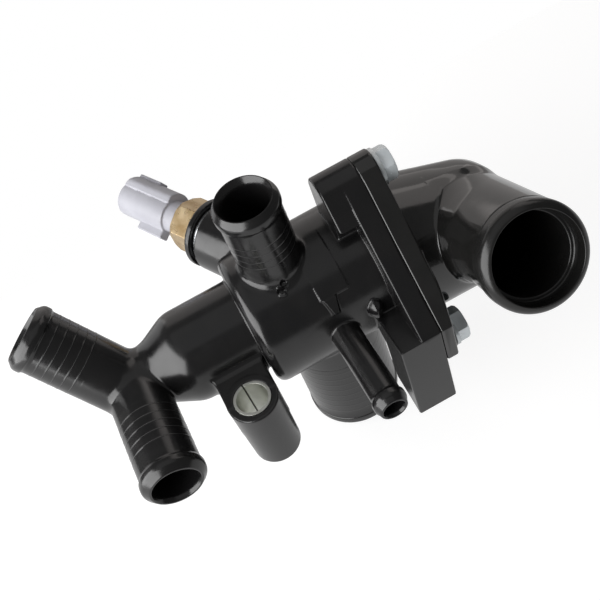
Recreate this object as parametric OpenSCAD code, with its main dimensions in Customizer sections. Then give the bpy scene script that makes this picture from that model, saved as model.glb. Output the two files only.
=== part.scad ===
// Coolant valve housing with an elbow cover, hose spigots, a temperature sensor and a wax valve inside.
// Origin at the lower end of the fixing sleeve. +X runs along the main tube to the cover, +Z up the upper
// spigot. Sizes are measured from the main tube's axis under the upper spigot, and seated() moves each piece.

/* [Main tube] */
// Outer radius of the main tube
tube_r = 15.45; // [14.5:0.05:16.5]
// Moulded wall thickness
wall = 2.7; // [2.4:0.1:3]
// X where the tube starts to narrow
cone_x = -38.2; // [-40:0.1:-36]
// X where the narrow neck starts
neck_x = -48.6; // [-50:0.1:-46]
// Outer radius of the narrow neck
neck_r = 10.4; // [9.8:0.1:11]

/* [Valve chamber] */
// Outer radius of the chamber
chamber_r = 22.2; // [21.8:0.1:22.8]
// X of the chamber's closed end
chamber_x = -15.4; // [-17:0.1:-14]
// Rounding of the chamber's closed end
chamber_round = 3.4; // [2:0.1:4]

/* [Flange] */
// X of the flange's rear face
flange_x = 26.9; // [25:0.1:28]
// X of the joint between housing and cover
joint_x = 33.6; // [33:0.1:35]
// X of the rear faces of the bolt bosses
boss_rear_x = 20.5; // [19:0.1:22]
// Distance from the main axis to the flat slanted rim
rim_d = 27.2; // [26.8:0.1:28]
// Y of the flange's front corner and of the leg's face
corner_y = -38.7; // [-40:0.1:-38]
// Thickness of the leg along Y
leg_t = 14.4; // [13:0.1:15]
// Z of the leg's foot
leg_z = -37.4; // [-40:0.1:-33]
// Radius of the bolt circle
bolt_circle_r = 32.5; // [32:0.1:33.5]
// Radius of the round ears
ear_r = 6.7; // [6.5:0.1:7.5]

/* [Hose spigots] */
// Outer radius of the upper and front spigots
hose_r = 9.66; // [9.2:0.02:10]
// Height of the bead above its tube
bead_h = 0.6; // [0.4:0.05:1]
// Bore radius of the upper and front spigots
hose_bore_r = 7; // [6.5:0.1:7.3]
// Height of the upper spigot's rim above the main axis
upper_z = 49.6; // [46:0.1:52]
// X of the front spigot's axis
front_x = -55.9; // [-58:0.1:-54]
// Distance of the front spigot's rim from the main axis
front_len = 41.1; // [38:0.1:45]
// Outer radius of the left spigot
left_r = 10.3; // [9.8:0.1:10.8]
// Length of the left spigot from the main axis
left_len = 36.6; // [34:0.1:40]
// X where the left spigot's axis leaves the main axis
left_x = -57.4; // [-59:0.1:-56]
// Tilt of the left spigot from vertical
left_tilt = 44.6; // [40:0.1:50]
// Heading of the left spigot about Z
left_turn = 139.1; // [135:0.1:143]
// Height of the branch above the main axis
branch_z = 0.8; // [0:0.1:1.5]
// X of the lower spigot's axis
lower_x = 8.6; // [7:0.1:9]
// Outer radius of the lower spigot
lower_r = 15.9; // [15:0.1:16.5]
// Distance of the lower spigot's rim below the main axis
lower_len = 63.8; // [55:0.1:66]
// X of the small pipe's axis
small_x = 9.4; // [8:0.1:10.5]
// Outer radius of the small pipe
small_r = 4.7; // [4.4:0.1:5]
// Bore radius of the small pipe
small_bore_r = 3.2; // [2.8:0.1:3.4]
// Distance of the small pipe's rim from the main axis
small_len = 53.7; // [50:0.1:56]

/* [Fixing boss] */
// X of the fixing boss
fix_x = -25; // [-26:0.1:-24.5]
// Y of the fixing boss
fix_y = -27.6; // [-29:0.1:-26]
// Z of the boss's upper face
fix_z = 2; // [0:0.1:4]
// Height of the boss
fix_h = 28.2; // [24:0.1:32]
// Outer radius of the boss at its upper face
fix_r = 8.2; // [7.8:0.1:8.8]
// Outer radius of the steel sleeve
sleeve_r = 5.9; // [5.6:0.1:6.2]
// Inner radius of the steel sleeve
sleeve_bore_r = 5; // [4.5:0.1:5.2]
// Width of the slit in the sleeve
sleeve_slit = 0.5; // [0.3:0.05:0.8]

/* [Sensor] */
// X where the sensor's axis meets the main axis
sensor_x = 11.9; // [11:0.1:13]
// Heading of the sensor about Z
sensor_turn = 118.3; // [116:0.1:121]
// Distance of the sensor boss's rim from the main axis
sensor_rim = 50; // [48:0.1:52]
// Outer radius of the sensor boss
sensor_boss_r = 12.2; // [11.6:0.1:12.8]
// Radius of the sensor's shank
shank_r = 7.6; // [7.2:0.1:8]
// Width across flats of the sensor's hexagon
sensor_hex = 17; // [16:0.5:19]
// Length of the sensor's hexagon
hex_len = 9.6; // [9:0.1:11]
// Outer radius of the plug's barrel
plug_r = 6.8; // [6.4:0.1:7.2]
// Length of the plug's barrel
plug_len = 22.9; // [21:0.1:25]
// Turn of the plug about the sensor's axis
plug_turn = 246; // [230:1:260]

/* [Outlet cover] */
// Thickness of the cover's flange
cover_t = 6.2; // [5.5:0.1:7]
// Radius of the dome where it leaves the flange
dome_r = 23.7; // [23:0.1:24.2]
// Radius of the dome where its end starts to round over
dome_end_r = 20.4; // [20:0.1:21]
// X where the dome's end starts to round over
dome_end_x = 63.5; // [62.5:0.1:64.5]
// X of the outlet's axis
bend_x = 61.4; // [60:0.1:62.5]
// Y of the elbow's turning point
bend_y = -3.4; // [-4.4:0.1:-2.4]
// Z of the elbow's turning point
bend_z = -5.1; // [-6:0.1:-4]
// Angle of the outlet above the horizontal
outlet_rise = 33.9; // [31:0.1:36]
// Length of the outlet from the turning point
outlet_len = 56.3; // [53:0.1:60]
// Outer radius of the outlet tube at the elbow
elbow_r = 16.8; // [16.2:0.1:17.4]
// Outer radius of the outlet tube behind its bead
outlet_r = 15.3; // [15:0.1:15.6]
// Outer radius of the outlet's bead
outlet_bead_r = 16.2; // [15.9:0.1:16.5]
// Bore radius of the outlet
outlet_bore_r = 12.2; // [11.6:0.1:12.4]

/* [Fasteners] */
// Thread radius of the cover bolts
bolt_r = 3; // [2.5:0.5:3]
// Width across flats of the bolt heads
bolt_hex = 10; // [8:0.5:11]
// Height of the bolt heads
bolt_head = 4; // [3.5:0.1:5]
// Outer radius of the washers
washer_r = 6.2; // [5.9:0.1:6.4]
// Thickness of the washers
washer_t = 1.2; // [1:0.1:1.6]
// Outer radius of the threaded inserts
insert_r = 4; // [3.8:0.1:4.2]
// Length of the threaded inserts
insert_len = 9; // [7:0.1:10]

/* [Valve] */
// Thickness of the valve plate
plate_t = 1.1; // [0.9:0.05:1.4]
// Distance from the chamber's bore to the valve's seat opening
seat_margin = 5.5; // [5.3:0.1:6]
// Radius of the wax capsule
capsule_r = 6.3; // [5.8:0.1:6.8]
// Length of the wax capsule below the valve disc
capsule_len = 20; // [18:0.1:21]
// Radius of the piston
piston_r = 1.6; // [1.4:0.1:1.8]
// Travel of the valve from closed to fully open
valve_lift = 8; // [6:0.1:8.5]
// Wire radius of the main spring
wire_r = 0.8; // [0.7:0.05:0.9]
// Turns of the main spring
spring_turns = 4; // [3:1:5]

/* [Hidden] */
$fn = 64;

// Overlap that keeps joined solids in one piece
lap = 0.5;
// Reach of a cut past the face that it opens
past = 1;
// Running clearance between pieces that move past each other
gap = 0.3;
// Clearance around pieces that only sit in a bore
slip = 0.1;

// Angles of the cover bolts about the main axis, from +Y towards +Z
bolt_angles = [86, 212, 329];
// Direction of the slanted rim's face in the flange plane
rim_angle = 135;

// Bores follow the walls
tube_bore_r = tube_r - wall;
neck_bore_r = neck_r - wall;
chamber_bore_r = chamber_r - wall;
left_bore_r = left_r - wall;
lower_bore_r = lower_r - wall;
cover_x = joint_x + cover_t;

// Bead and mouth of the hose spigots
bead_len = 4.6;
bead_nose = 2.2;
rim_inset = 1.1;
rim_round = 0.3;
mouth_depth = 1.6;
mouth_flare = 0.9;
lower_bead = 0.4;
small_inset = 0.4;
small_flare = 0.3;

// Front corner of the flange, where the slanted rim meets the leg's face
corner_z = corner_y + rim_d * sqrt(2);
// Inner corners of the leg and of the top boss
leg_back_y = corner_y + leg_t;
top_boss_half = 8.5;
top_boss_foot = 12;
// Slope of the leg's foot
foot_rise = 4.4;
// Lifter pad on the chamber: turn about the main axis, half length, half widths, sideways lean and height
pad_angle = 56;
pad_run = 4;
pad_top = 2.4;
pad_low = 0.95;
pad_lean = 0.2;
pad_h = 0.75;
pad_root = 2;
// Pointed core end, which lies half in the chamber's wall
core_tip = [boss_rear_x - 4.5, 0.6 - chamber_r, 3.2];
core_end = [boss_rear_x + 3, 0.6 - chamber_r, 2.2];
core_tip_r = 0.8;
core_end_r = 4;
// Web of the hidden ear, as a share of the ear's radius
ear_web = 0.7;
// Draft of the fixing boss and step from its web to the tube's underside
fix_draft = 0.4;
web_step = 1;
// Lower edge of the cover's ear on the leg side
cover_ear_z = -15.6;

// Valve seat stack: a rubber ring lies in a counterbore and grips the rim of the plate
seat_r = chamber_bore_r - seat_margin;
seal_r = chamber_bore_r + 2.9;
seal_in_r = chamber_bore_r + 0.4;
seal_lip = 0.85;
seal_w = 2 * seal_lip + plate_t;
seal_x = joint_x - seal_w;
plate_x = seal_x + seal_lip;
plate_r = seal_r - 0.9;
seat_lip_h = 2;
seat_lip_t = 1;
plate_face_x = plate_x + plate_t;
disc_t = 1.2;
disc_r = seat_r + 1.5;
dish_r = seat_r - 1;
dish_slope = 1.5;
dish_h = 1;
disc_x = plate_x - seat_lip_h - gap - disc_t;
hub_r = capsule_r;
hub_h = 2.1;
stem_r = 4.2;
capsule_top_x = disc_x - hub_h;
capsule_tip_x = capsule_top_x - capsule_len;
guide_x = disc_x + disc_t + 1.5;
guide_h = 4;
guide_shoulder = 1.6;
guide_lip = 1;
// Bridge and cage straps
bridge_rise = 10.6;
bridge_x = plate_face_x + bridge_rise;
bridge_t = 1.5;
bridge_w = 7;
bridge_foot_r = seat_r + 2;
foot_out = 1.5;
foot_in = 0.5;
foot_t = 1.2;
crown = 4;
crown_out = 0.8;
cage_r = chamber_bore_r - 1.7;
cage_t = 1.2;
cage_w = 7;
cage_x = capsule_tip_x + valve_lift - 2;
cage_base_w = 15;
piston_depth = 9;
piston_hole_r = piston_r + gap;
wax_len = 8;
tip_round = 2;
// Room between the spring and the capsule, and between the spring and the disc's edge
spring_room = 1.2;
spring_inset = 2.4;
// Bleed pin in the plate
jiggle_at = polar(seat_r + seat_lip_t + 2, 45);
jiggle_shaft_r = 0.8;
jiggle_hole_r = jiggle_shaft_r + gap;
jiggle_head_r = 1.5;
jiggle_weight_r = 1.1;
jiggle_lift = 1;
jiggle_weight_h = 1.6;
jiggle_head_h = 0.7;

// Sensor stations along its own axis, measured from the main axis
probe_r = 3.5;
probe_tip = chamber_bore_r - 2;
shank_x = chamber_r + 8;
hex_x = sensor_rim + 0.4;
plug_root = hex_x + hex_len;
plug_x = plug_root + 6.7;
plug_end = plug_x + plug_len;
ring_x = shank_x + 6;
ring_t = 0.9;
clip_w = 2.5;
clip_t = 1.6;
clip_x = sensor_rim - 4.8;
clip_groove_r = shank_r - 1.2;
clip_r = shank_r + 2.9;
clip_cut_z = -8;
clip_open = 100;
plug_wall = 1.4;
plug_depth = 16;
plug_neck_r = plug_r - 1;
pad_r = plug_r + 2.2;
rail_w = 4.4;
rail_r = plug_r + 2.7;
lock_r = pad_r + 0.7;
// Chamfer of the barrel's end, and runs of the pad and rails as shares of the barrel
plug_chamfer = [1, 2];
pad_short = 0.4;
lock_from = 0.45;
lock_run = 0.46;
rail_run = 0.52;
// Contact blades: thickness, width, distance below the plug's rim and offset from the middle
blade_t = 0.8;
blade_w = 2.2;
blade_short = 5;
blade_off = 2.4;

// The dome's axis sinks towards the elbow, so its lower edge stays level
bend = [bend_x, bend_y, bend_z];
dome_start = [cover_x - lap, -1.3, -1];
dome_end = [dome_end_x, bend_y - 0.7, bend_z + 1.9];
dome_len = norm(dome_end - dome_start);
// How far the dome's end draws in and how far it has run out, at each step of its rounding
dome_steps = [[1.2, 3], [3.2, 6], [6.4, 9]];
dome_cap = 10;
// The outlet tube swells towards the outside of the bend
swell_angle = 40;
swell_root = 2.5;
swell_tip = 0.85;
swell_start = -4;
bead_start = outlet_len - 8;
// Outlet's bead: step behind it, run up to its full radius, nose and drawn-in rim
bead_neck = 0.7;
bead_rise = 1.6;
outlet_nose = 2.4;
nose_round = [0.4, 0.6];
outlet_inset = 0.9;
// Flare that draws the inside of the bend on to the dome
flare_root = [-3, 3, 6];
flare_tip = [-0.6, 0.8, 27];
flare_r = 18.2;
flare_tip_r = 13.8;
// Mouth of the outlet
lip_depth = 6;
lip_r = outlet_bore_r + 1.2;
mouth_r = outlet_bead_r - 2.4;
// Waterway of the elbow
bend_core = [bend_x - 1, bend_y, bend_z * 0.7];
bend_core_r = elbow_r - 1;
// The straight throat reaches past the slanted start of the dome's bore
throat_run = 4.5;
// Step from the chamber's bore down to the throat
throat_step = 0.6;
// Length of the outlet's straight bore behind its mouth
straight_bore = 12;
// The cover's flange thins towards the front corner, bar the seats under the washers
thin_y = -29.5;
thin_angle = 14;
seat_pad_r = washer_r + 0.2;
// Cone that takes the corners off a hexagon, as shares of its width at the base and at the top
hex_base = 0.87;
hex_top = 0.52;
// Free depth below the inserts
pocket_end = 2;
// Heading of the sleeve's slit
slit_angle = 100;

function polar(r, a) = [r * cos(a), r * sin(a)];

// Moves a finished piece from the main tube's axis to the origin at the fixing sleeve
module seated() {
    translate([-fix_x, -fix_y, fix_h - fix_z]) children();
}

// Places a part at p, its Z towards q
module along(p, q) {
    d = q - p;
    translate(p) rotate([0, acos(d[2] / norm(d)), atan2(d[1], d[0])]) children();
}

// Turns a profile of radius and station about the main axis
module about_x() {
    rotate([0, 90, 0]) rotate_extrude() children();
}

// Plate in the flange plane: the outline's first axis is Y, its second is Z
module flange_slab(x0, x1) {
    translate([x0, 0, 0]) rotate([90, 0, 90]) linear_extrude(x1 - x0) children();
}

// Pattern along X at the cover bolts
module at_bolts() {
    for (a = bolt_angles) {
        p = polar(bolt_circle_r, a);
        translate([0, p[0], p[1]]) rotate([0, 90, 0]) children();
    }
}

// Places a part on the sensor's axis, its Z along the axis
module on_sensor() {
    translate([sensor_x, 0, 0]) rotate([0, 90, sensor_turn]) children();
}

// Hose tube with a bead and a drawn-in rim, standing on Z
module spigot(r, len, bead, inset = rim_inset) {
    rotate_extrude()
        polygon([[0, 0], [r, 0], [r, len - bead_len], [r + bead, len - bead_len + bead / 2],
                 [r + bead, len - bead_nose], [r - inset + rim_round, len - rim_round],
                 [r - inset, len], [0, len]]);
}

// Bore with a flared mouth, from Z = 0 through the rim
module spigot_bore(r, len, flare = mouth_flare) {
    cylinder(h = len + past, r = r);
    translate([0, 0, len - mouth_depth])
        cylinder(h = mouth_depth + past, r1 = r, r2 = r + flare * (1 + past / mouth_depth));
}

module facing_front() {
    translate([front_x, 0, branch_z]) rotate([90, 0, 0]) children();
}

module facing_left() {
    translate([left_x, 0, branch_z]) rotate([0, left_tilt, left_turn]) children();
}

module facing_down() {
    translate([lower_x, 0, 0]) rotate([180, 0, 0]) children();
}

module small_front() {
    translate([small_x, 0, 0]) rotate([90, 0, 0]) children();
}

module at_outlet() {
    translate(bend) rotate([90 - outlet_rise, 0, 0]) children();
}

// Outline shared by both flanges: round middle, three ears, slanted rim and front corner
module flange_outline() {
    circle(r = rim_d);
    for (a = bolt_angles) translate(polar(bolt_circle_r, a)) circle(r = ear_r);
    top = polar(bolt_circle_r, bolt_angles[0]);
    side = polar(bolt_circle_r, bolt_angles[1]);
    low = polar(bolt_circle_r, bolt_angles[2]);
    edge = polar(ear_r, rim_angle);
    rim_run = polar(rim_d, rim_angle);
    // the rim runs from the top ear to the front corner
    polygon([top + edge, rim_run, [corner_y, corner_z], [corner_y, cover_ear_z],
             side + polar(ear_r, 225), side + polar(ear_r, 300), [0, 0], top + polar(ear_r, 0)]);
    // fillets of the hidden ear
    polygon([[0, 0], polar(rim_d, bolt_angles[2] - 42), low + polar(ear_r, bolt_angles[2] - 75),
             low + polar(ear_r, bolt_angles[2] + 75), polar(rim_d, bolt_angles[2] + 42)]);
    // fillet between the top ear and the round middle
    polygon([[0, 0], top + polar(ear_r, 0), polar(rim_d, bolt_angles[0] - 42)]);
}

// Leg that carries the front bolt and reaches below the cover
module leg_outline() {
    polygon([[corner_y, corner_z], [corner_y, leg_z], [leg_back_y, leg_z + foot_rise],
             [leg_back_y, -top_boss_foot], [-top_boss_foot, 0]]);
}

// Deep boss behind the top bolt, cut by the slanted rim
module top_boss_outline() {
    top = polar(bolt_circle_r, bolt_angles[0]);
    edge = polar(ear_r, rim_angle);
    translate(top) circle(r = ear_r);
    front_y = top[0] - top_boss_half;
    polygon([[front_y, top_boss_foot], [front_y, rim_d * sqrt(2) + front_y], top + edge,
             top + polar(ear_r, 0), [top[0] + ear_r, top_boss_foot]]);
}

// Outside of the main tube, narrowing to the branch
module tube_outside() {
    about_x()
        polygon([[0, front_x], [neck_r, front_x], [neck_r, neck_x], [tube_r, cone_x],
                 [tube_r, 0], [0, 0]]);
    translate([front_x, 0, 0]) sphere(r = neck_r);
}

// Outside of the chamber with its rounded closed end
module chamber_outside() {
    about_x() {
        polygon([[0, chamber_x], [chamber_r - chamber_round, chamber_x],
                 [chamber_r, chamber_x + chamber_round], [chamber_r, flange_x + lap], [0, flange_x + lap]]);
        translate([chamber_r - chamber_round, chamber_x + chamber_round]) circle(r = chamber_round);
    }
}

// Boss for the fixing sleeve, drawn on to the tube by a full-width web
module fixing_boss() {
    translate([fix_x, fix_y, fix_z - fix_h]) cylinder(h = fix_h, r1 = fix_r - fix_draft, r2 = fix_r);
    web_h = tube_r + fix_z - web_step;
    translate([fix_x - fix_r, fix_y, fix_z - web_h]) cube([2 * fix_r, -fix_y - tube_bore_r, web_h]);
}

// Tapered lifter pad on the chamber's front and the pointed core end beside the leg
module chamber_pads() {
    translate([small_x, 0, 0]) rotate([pad_angle, 0, 0]) translate([0, 0, chamber_r - pad_root])
        linear_extrude(pad_root + pad_h)
            polygon([[-pad_top - pad_lean, pad_run], [pad_top - pad_lean, pad_run],
                     [pad_low + pad_lean, -pad_run], [pad_lean - pad_low, -pad_run]]);
    along(core_tip, core_end) cylinder(h = norm(core_end - core_tip), r1 = core_tip_r, r2 = core_end_r);
}

module housing_bosses() {
    flange_slab(flange_x, joint_x) flange_outline();
    flange_slab(boss_rear_x, joint_x) leg_outline();
    flange_slab(boss_rear_x, flange_x + lap) top_boss_outline();
    flange_slab(boss_rear_x, flange_x + lap)
        translate(polar(bolt_circle_r, bolt_angles[2])) circle(r = ear_r);
    flange_slab(boss_rear_x, flange_x + lap)
        rotate(bolt_angles[2]) translate([chamber_bore_r + lap, -ear_r * ear_web])
            square([bolt_circle_r - chamber_bore_r - lap, 2 * ear_r * ear_web]);
}

module sensor_boss() {
    root = chamber_bore_r / 2;
    on_sensor() translate([0, 0, root]) cylinder(h = sensor_rim - root, r = sensor_boss_r);
}

module housing_outside() {
    tube_outside();
    chamber_outside();
    spigot(hose_r, upper_z, bead_h);
    facing_front() spigot(hose_r, front_len, bead_h);
    facing_left() sphere(r = left_r);
    facing_left() spigot(left_r, left_len, bead_h);
    facing_down() spigot(lower_r, lower_len, lower_bead);
    small_front() spigot(small_r, small_len, bead_h, small_inset);
    fixing_boss();
    chamber_pads();
    housing_bosses();
    sensor_boss();
}

// Waterway of the housing: tube, chamber, counterbore and every branch
module housing_waterway() {
    about_x()
        polygon([[0, front_x], [neck_bore_r, front_x], [neck_bore_r, neck_x], [tube_bore_r, cone_x],
                 [tube_bore_r, chamber_x + wall], [chamber_bore_r, chamber_x + wall],
                 [chamber_bore_r, seal_x], [seal_r, seal_x], [seal_r, joint_x + past], [0, joint_x + past]]);
    translate([front_x, 0, 0]) sphere(r = neck_bore_r);
    spigot_bore(hose_bore_r, upper_z);
    facing_front() spigot_bore(hose_bore_r, front_len);
    facing_left() sphere(r = left_bore_r);
    facing_left() spigot_bore(left_bore_r, left_len);
    facing_down() spigot_bore(lower_bore_r, lower_len);
    small_front() spigot_bore(small_bore_r, small_len, small_flare);
}

module sensor_seat() {
    on_sensor() {
        cylinder(h = shank_x + past, r = probe_r + gap);
        translate([0, 0, shank_x]) cylinder(h = sensor_rim - shank_x + past, r = shank_r + slip);
        // the clip's slot is open at the top and leaves a bridge below
        translate([-sensor_boss_r - past, -sensor_boss_r - past, clip_x])
            cube([sensor_boss_r + past - clip_cut_z, 2 * (sensor_boss_r + past), clip_w]);
    }
}

module housing() {
    color("#1d1d1f") seated()
    difference() {
        housing_outside();
        housing_waterway();
        sensor_seat();
        translate([fix_x, fix_y, fix_z - fix_h - past]) cylinder(h = fix_h + 2 * past, r = sleeve_r);
        translate([joint_x - insert_len, 0, 0]) at_bolts() cylinder(h = insert_len + past, r = insert_r);
        translate([joint_x - insert_len - pocket_end, 0, 0]) at_bolts()
            cylinder(h = pocket_end + lap, r = bolt_r + gap);
    }
}

// Point beside the outlet's axis, on the outside of the bend
function beside(off, station) = concat(polar(off, swell_angle), station);

module cover_flange() {
    difference() {
        flange_slab(joint_x, cover_x) flange_outline();
        translate([cover_x, thin_y, 0]) rotate([0, 0, -thin_angle])
            translate([0, -bolt_circle_r, -bolt_circle_r]) cube([cover_t, bolt_circle_r, 2 * bolt_circle_r]);
    }
    translate([joint_x, 0, 0]) at_bolts() cylinder(h = cover_t, r = seat_pad_r);
}

// Tapered dome with a far end that rounds over in steps
module dome() {
    along(dome_start, dome_end) rotate_extrude()
        polygon(concat([[0, 0], [dome_r, 0], [dome_end_r, dome_len]],
                       [for (s = dome_steps) [dome_end_r - s[0], dome_len + s[1]]],
                       [[0, dome_len + dome_cap]]));
}

// Outlet tube: swollen at the bend, round and beaded at the mouth
module outlet_tube() {
    root = beside(swell_root, swell_start);
    tip = beside(swell_tip, bead_start);
    at_outlet() {
        translate(root) sphere(r = elbow_r);
        along(root, tip) cylinder(h = norm(tip - root), r1 = elbow_r, r2 = outlet_r);
        along(flare_root, flare_tip)
            cylinder(h = norm(flare_tip - flare_root), r1 = flare_r, r2 = flare_tip_r);
        rotate_extrude()
            polygon([[0, bead_start], [outlet_r - bead_neck, bead_start],
                     [outlet_bead_r, bead_start + bead_rise], [outlet_bead_r, outlet_len - outlet_nose],
                     [outlet_bead_r - nose_round[0], outlet_len - nose_round[1]],
                     [outlet_bead_r - outlet_inset, outlet_len], [0, outlet_len]]);
    }
}

module cover_waterway() {
    throat_r = chamber_bore_r - throat_step;
    wide = beside(swell_root, 0);
    narrow = [0, 0, outlet_len - straight_bore];
    translate([joint_x - past, 0, 0]) rotate([0, 90, 0])
        cylinder(h = cover_t + past + throat_run, r = throat_r);
    along(dome_start, bend_core)
        cylinder(h = norm(bend_core - dome_start), r1 = throat_r, r2 = bend_core_r);
    translate(bend_core) sphere(r = bend_core_r);
    at_outlet() {
        along(wide, narrow) cylinder(h = norm(narrow - wide), r1 = elbow_r - wall, r2 = outlet_bore_r);
        cylinder(h = outlet_len + past, r = outlet_bore_r);
        translate([0, 0, outlet_len - lip_depth])
            cylinder(h = lip_depth + past, r1 = lip_r, r2 = mouth_r + (mouth_r - lip_r) * past / lip_depth);
    }
}

module outlet_cover() {
    color("#2a2a2b") seated()
    difference() {
        union() {
            cover_flange();
            dome();
            outlet_tube();
        }
        cover_waterway();
        translate([joint_x - past, 0, 0]) at_bolts() cylinder(h = cover_t + 2 * past, r = bolt_r + gap);
        // room for the bolt heads beside the dome
        translate([cover_x, 0, 0]) at_bolts()
            cylinder(h = washer_t + bolt_head + 2 * past, r = washer_r + gap);
    }
}

module cover_bolts() {
    reach = cover_t + insert_len - past;
    color("#c8ced2") seated()
    translate([cover_x, 0, 0]) at_bolts() {
        translate([0, 0, -reach]) cylinder(h = reach + washer_t + lap, r = bolt_r);
        translate([0, 0, washer_t]) intersection() {
            cylinder(h = bolt_head, r = bolt_hex / sqrt(3), $fn = 6);
            cylinder(h = bolt_head, r1 = bolt_hex * hex_base, r2 = bolt_hex * hex_top);
        }
    }
}

module bolt_washers() {
    color("#b9c0c4") seated()
    translate([cover_x, 0, 0]) at_bolts() difference() {
        cylinder(h = washer_t, r = washer_r);
        translate([0, 0, -past]) cylinder(h = washer_t + 2 * past, r = bolt_r + gap);
    }
}

module threaded_inserts() {
    color("#b08d4a") seated()
    translate([joint_x - insert_len, 0, 0]) at_bolts() difference() {
        cylinder(h = insert_len, r = insert_r);
        translate([0, 0, -past]) cylinder(h = insert_len + 2 * past, r = bolt_r);
    }
}

module mount_sleeve() {
    color("#c3c8c0") seated()
    translate([fix_x, fix_y, fix_z - fix_h]) difference() {
        cylinder(h = fix_h, r = sleeve_r);
        translate([0, 0, -past]) cylinder(h = fix_h + 2 * past, r = sleeve_bore_r);
        rotate(slit_angle) translate([0, -sleeve_slit / 2, -past])
            cube([sleeve_r + past, sleeve_slit, fix_h + 2 * past]);
    }
}

// Ring-shaped cut around the sensor's shank
module shank_groove(station, width, floor_r) {
    translate([0, 0, station]) difference() {
        cylinder(h = width, r = shank_r + past);
        translate([0, 0, -past]) cylinder(h = width + 2 * past, r = floor_r);
    }
}

// Brass sensor: rounded probe, grooved shank and hexagon
module sensor_body() {
    color("#c9a455") seated()
    on_sensor() difference() {
        union() {
            translate([0, 0, probe_tip + probe_r]) sphere(r = probe_r);
            translate([0, 0, probe_tip + probe_r]) cylinder(h = shank_x - probe_tip, r = probe_r);
            translate([0, 0, shank_x]) cylinder(h = hex_x - shank_x + lap, r = shank_r);
            translate([0, 0, hex_x]) intersection() {
                cylinder(h = hex_len, r = sensor_hex / sqrt(3), $fn = 6);
                cylinder(h = hex_len, r1 = sensor_hex * hex_base, r2 = sensor_hex * hex_top);
            }
        }
        shank_groove(ring_x - ring_t, 2 * ring_t, shank_r + slip - 2 * ring_t);
        shank_groove(clip_x, clip_w, clip_groove_r);
    }
}

module sensor_ring() {
    color("#151515") seated()
    on_sensor() translate([0, 0, ring_x]) rotate_extrude()
        translate([shank_r + slip - ring_t, 0]) circle(r = ring_t, $fn = 24);
}

// Open ring of flat steel that locks the shank, its gap below
module sensor_clip() {
    color("#d5d8da") seated()
    on_sensor() translate([0, 0, clip_x + (clip_w - clip_t) / 2])
        rotate(180 - (360 - clip_open) / 2)
            rotate_extrude(angle = 360 - clip_open)
                translate([clip_groove_r, 0]) square([clip_r - clip_groove_r, clip_t]);
}

// Plug housing: neck, round barrel, a raised pad with a lock rail and a guide rail opposite
module sensor_connector() {
    color("#d9d8e2") seated()
    on_sensor() rotate(plug_turn) difference() {
        union() {
            translate([0, 0, plug_root]) cylinder(h = plug_x - plug_root + lap, r = plug_neck_r);
            translate([0, 0, plug_x]) rotate_extrude()
                polygon([[0, 0], [plug_r, 0], [plug_r, plug_len - plug_chamfer[1]],
                         [plug_r - plug_chamfer[0], plug_len], [0, plug_len]]);
            translate([0, 0, plug_x]) intersection() {
                cylinder(h = plug_len - pad_short, r = pad_r);
                translate([plug_r / 2, -plug_r, 0]) cube([pad_r, 2 * plug_r, plug_len]);
            }
            translate([plug_r, -rail_w / 2, plug_x + plug_len * lock_from])
                cube([lock_r - plug_r, rail_w, plug_len * lock_run]);
            translate([-rail_r, -rail_w / 2, plug_x])
                cube([rail_r - plug_neck_r, rail_w, plug_len * rail_run]);
        }
        translate([0, 0, plug_end - plug_depth]) cylinder(h = plug_depth + past, r = plug_r - plug_wall);
    }
}

module sensor_terminals() {
    color("#b9b2a0") seated()
    on_sensor() rotate(plug_turn) for (side = [-1, 1])
        translate([-blade_t / 2, side * blade_off - blade_w / 2, plug_end - plug_depth])
            cube([blade_t, blade_w, plug_depth - blade_short]);
}

// Pressed plate with a turned-back seat lip and a bleed hole
module valve_plate() {
    color("#b9b6a8") seated()
    difference() {
        about_x()
            polygon([[seat_r, plate_x - seat_lip_h], [seat_r + seat_lip_t, plate_x - seat_lip_h],
                     [seat_r + seat_lip_t, plate_x], [plate_r, plate_x], [plate_r, plate_face_x],
                     [seat_r, plate_face_x]]);
        translate([plate_x - past, jiggle_at[0], jiggle_at[1]]) rotate([0, 90, 0])
            cylinder(h = plate_t + 2 * past, r = jiggle_hole_r);
    }
}

module valve_seal() {
    color("#161616") seated()
    about_x() difference() {
        translate([seal_in_r, seal_x]) square([seal_r - seal_in_r, seal_w]);
        translate([seal_in_r - past, plate_x]) square([plate_r - seal_in_r + past, plate_t]);
    }
}

// Strap that holds the piston on the outlet side
module valve_bridge() {
    color("#b9b6a8") seated()
    translate([0, bridge_w / 2, 0]) rotate([90, 0, 0]) linear_extrude(bridge_w)
        polygon([[plate_face_x, bridge_foot_r + foot_out], [plate_face_x, bridge_foot_r - foot_in],
                 [bridge_x, crown], [bridge_x, -crown],
                 [plate_face_x, foot_in - bridge_foot_r], [plate_face_x, -bridge_foot_r - foot_out],
                 [plate_face_x + foot_t, -bridge_foot_r - foot_out],
                 [bridge_x + bridge_t, -crown - crown_out], [bridge_x + bridge_t, crown + crown_out],
                 [plate_face_x + foot_t, bridge_foot_r + foot_out]]);
}

module piston_pin() {
    tip_x = disc_x - piston_depth + disc_t;
    color("#c9ccd0") seated()
    translate([tip_x, 0, 0]) rotate([0, 90, 0]) cylinder(h = bridge_x - tip_x, r = piston_r);
}

// Dished valve disc with the collar that grips the capsule's neck
module valve_disc() {
    face_x = disc_x + disc_t;
    color("#a8a69a") seated()
    about_x()
        polygon([[stem_r, capsule_top_x], [hub_r, capsule_top_x], [hub_r, disc_x], [disc_r, disc_x],
                 [disc_r, face_x], [dish_r, face_x], [dish_r - dish_slope, face_x + dish_h],
                 [stem_r, face_x + dish_h]]);
}

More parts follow.
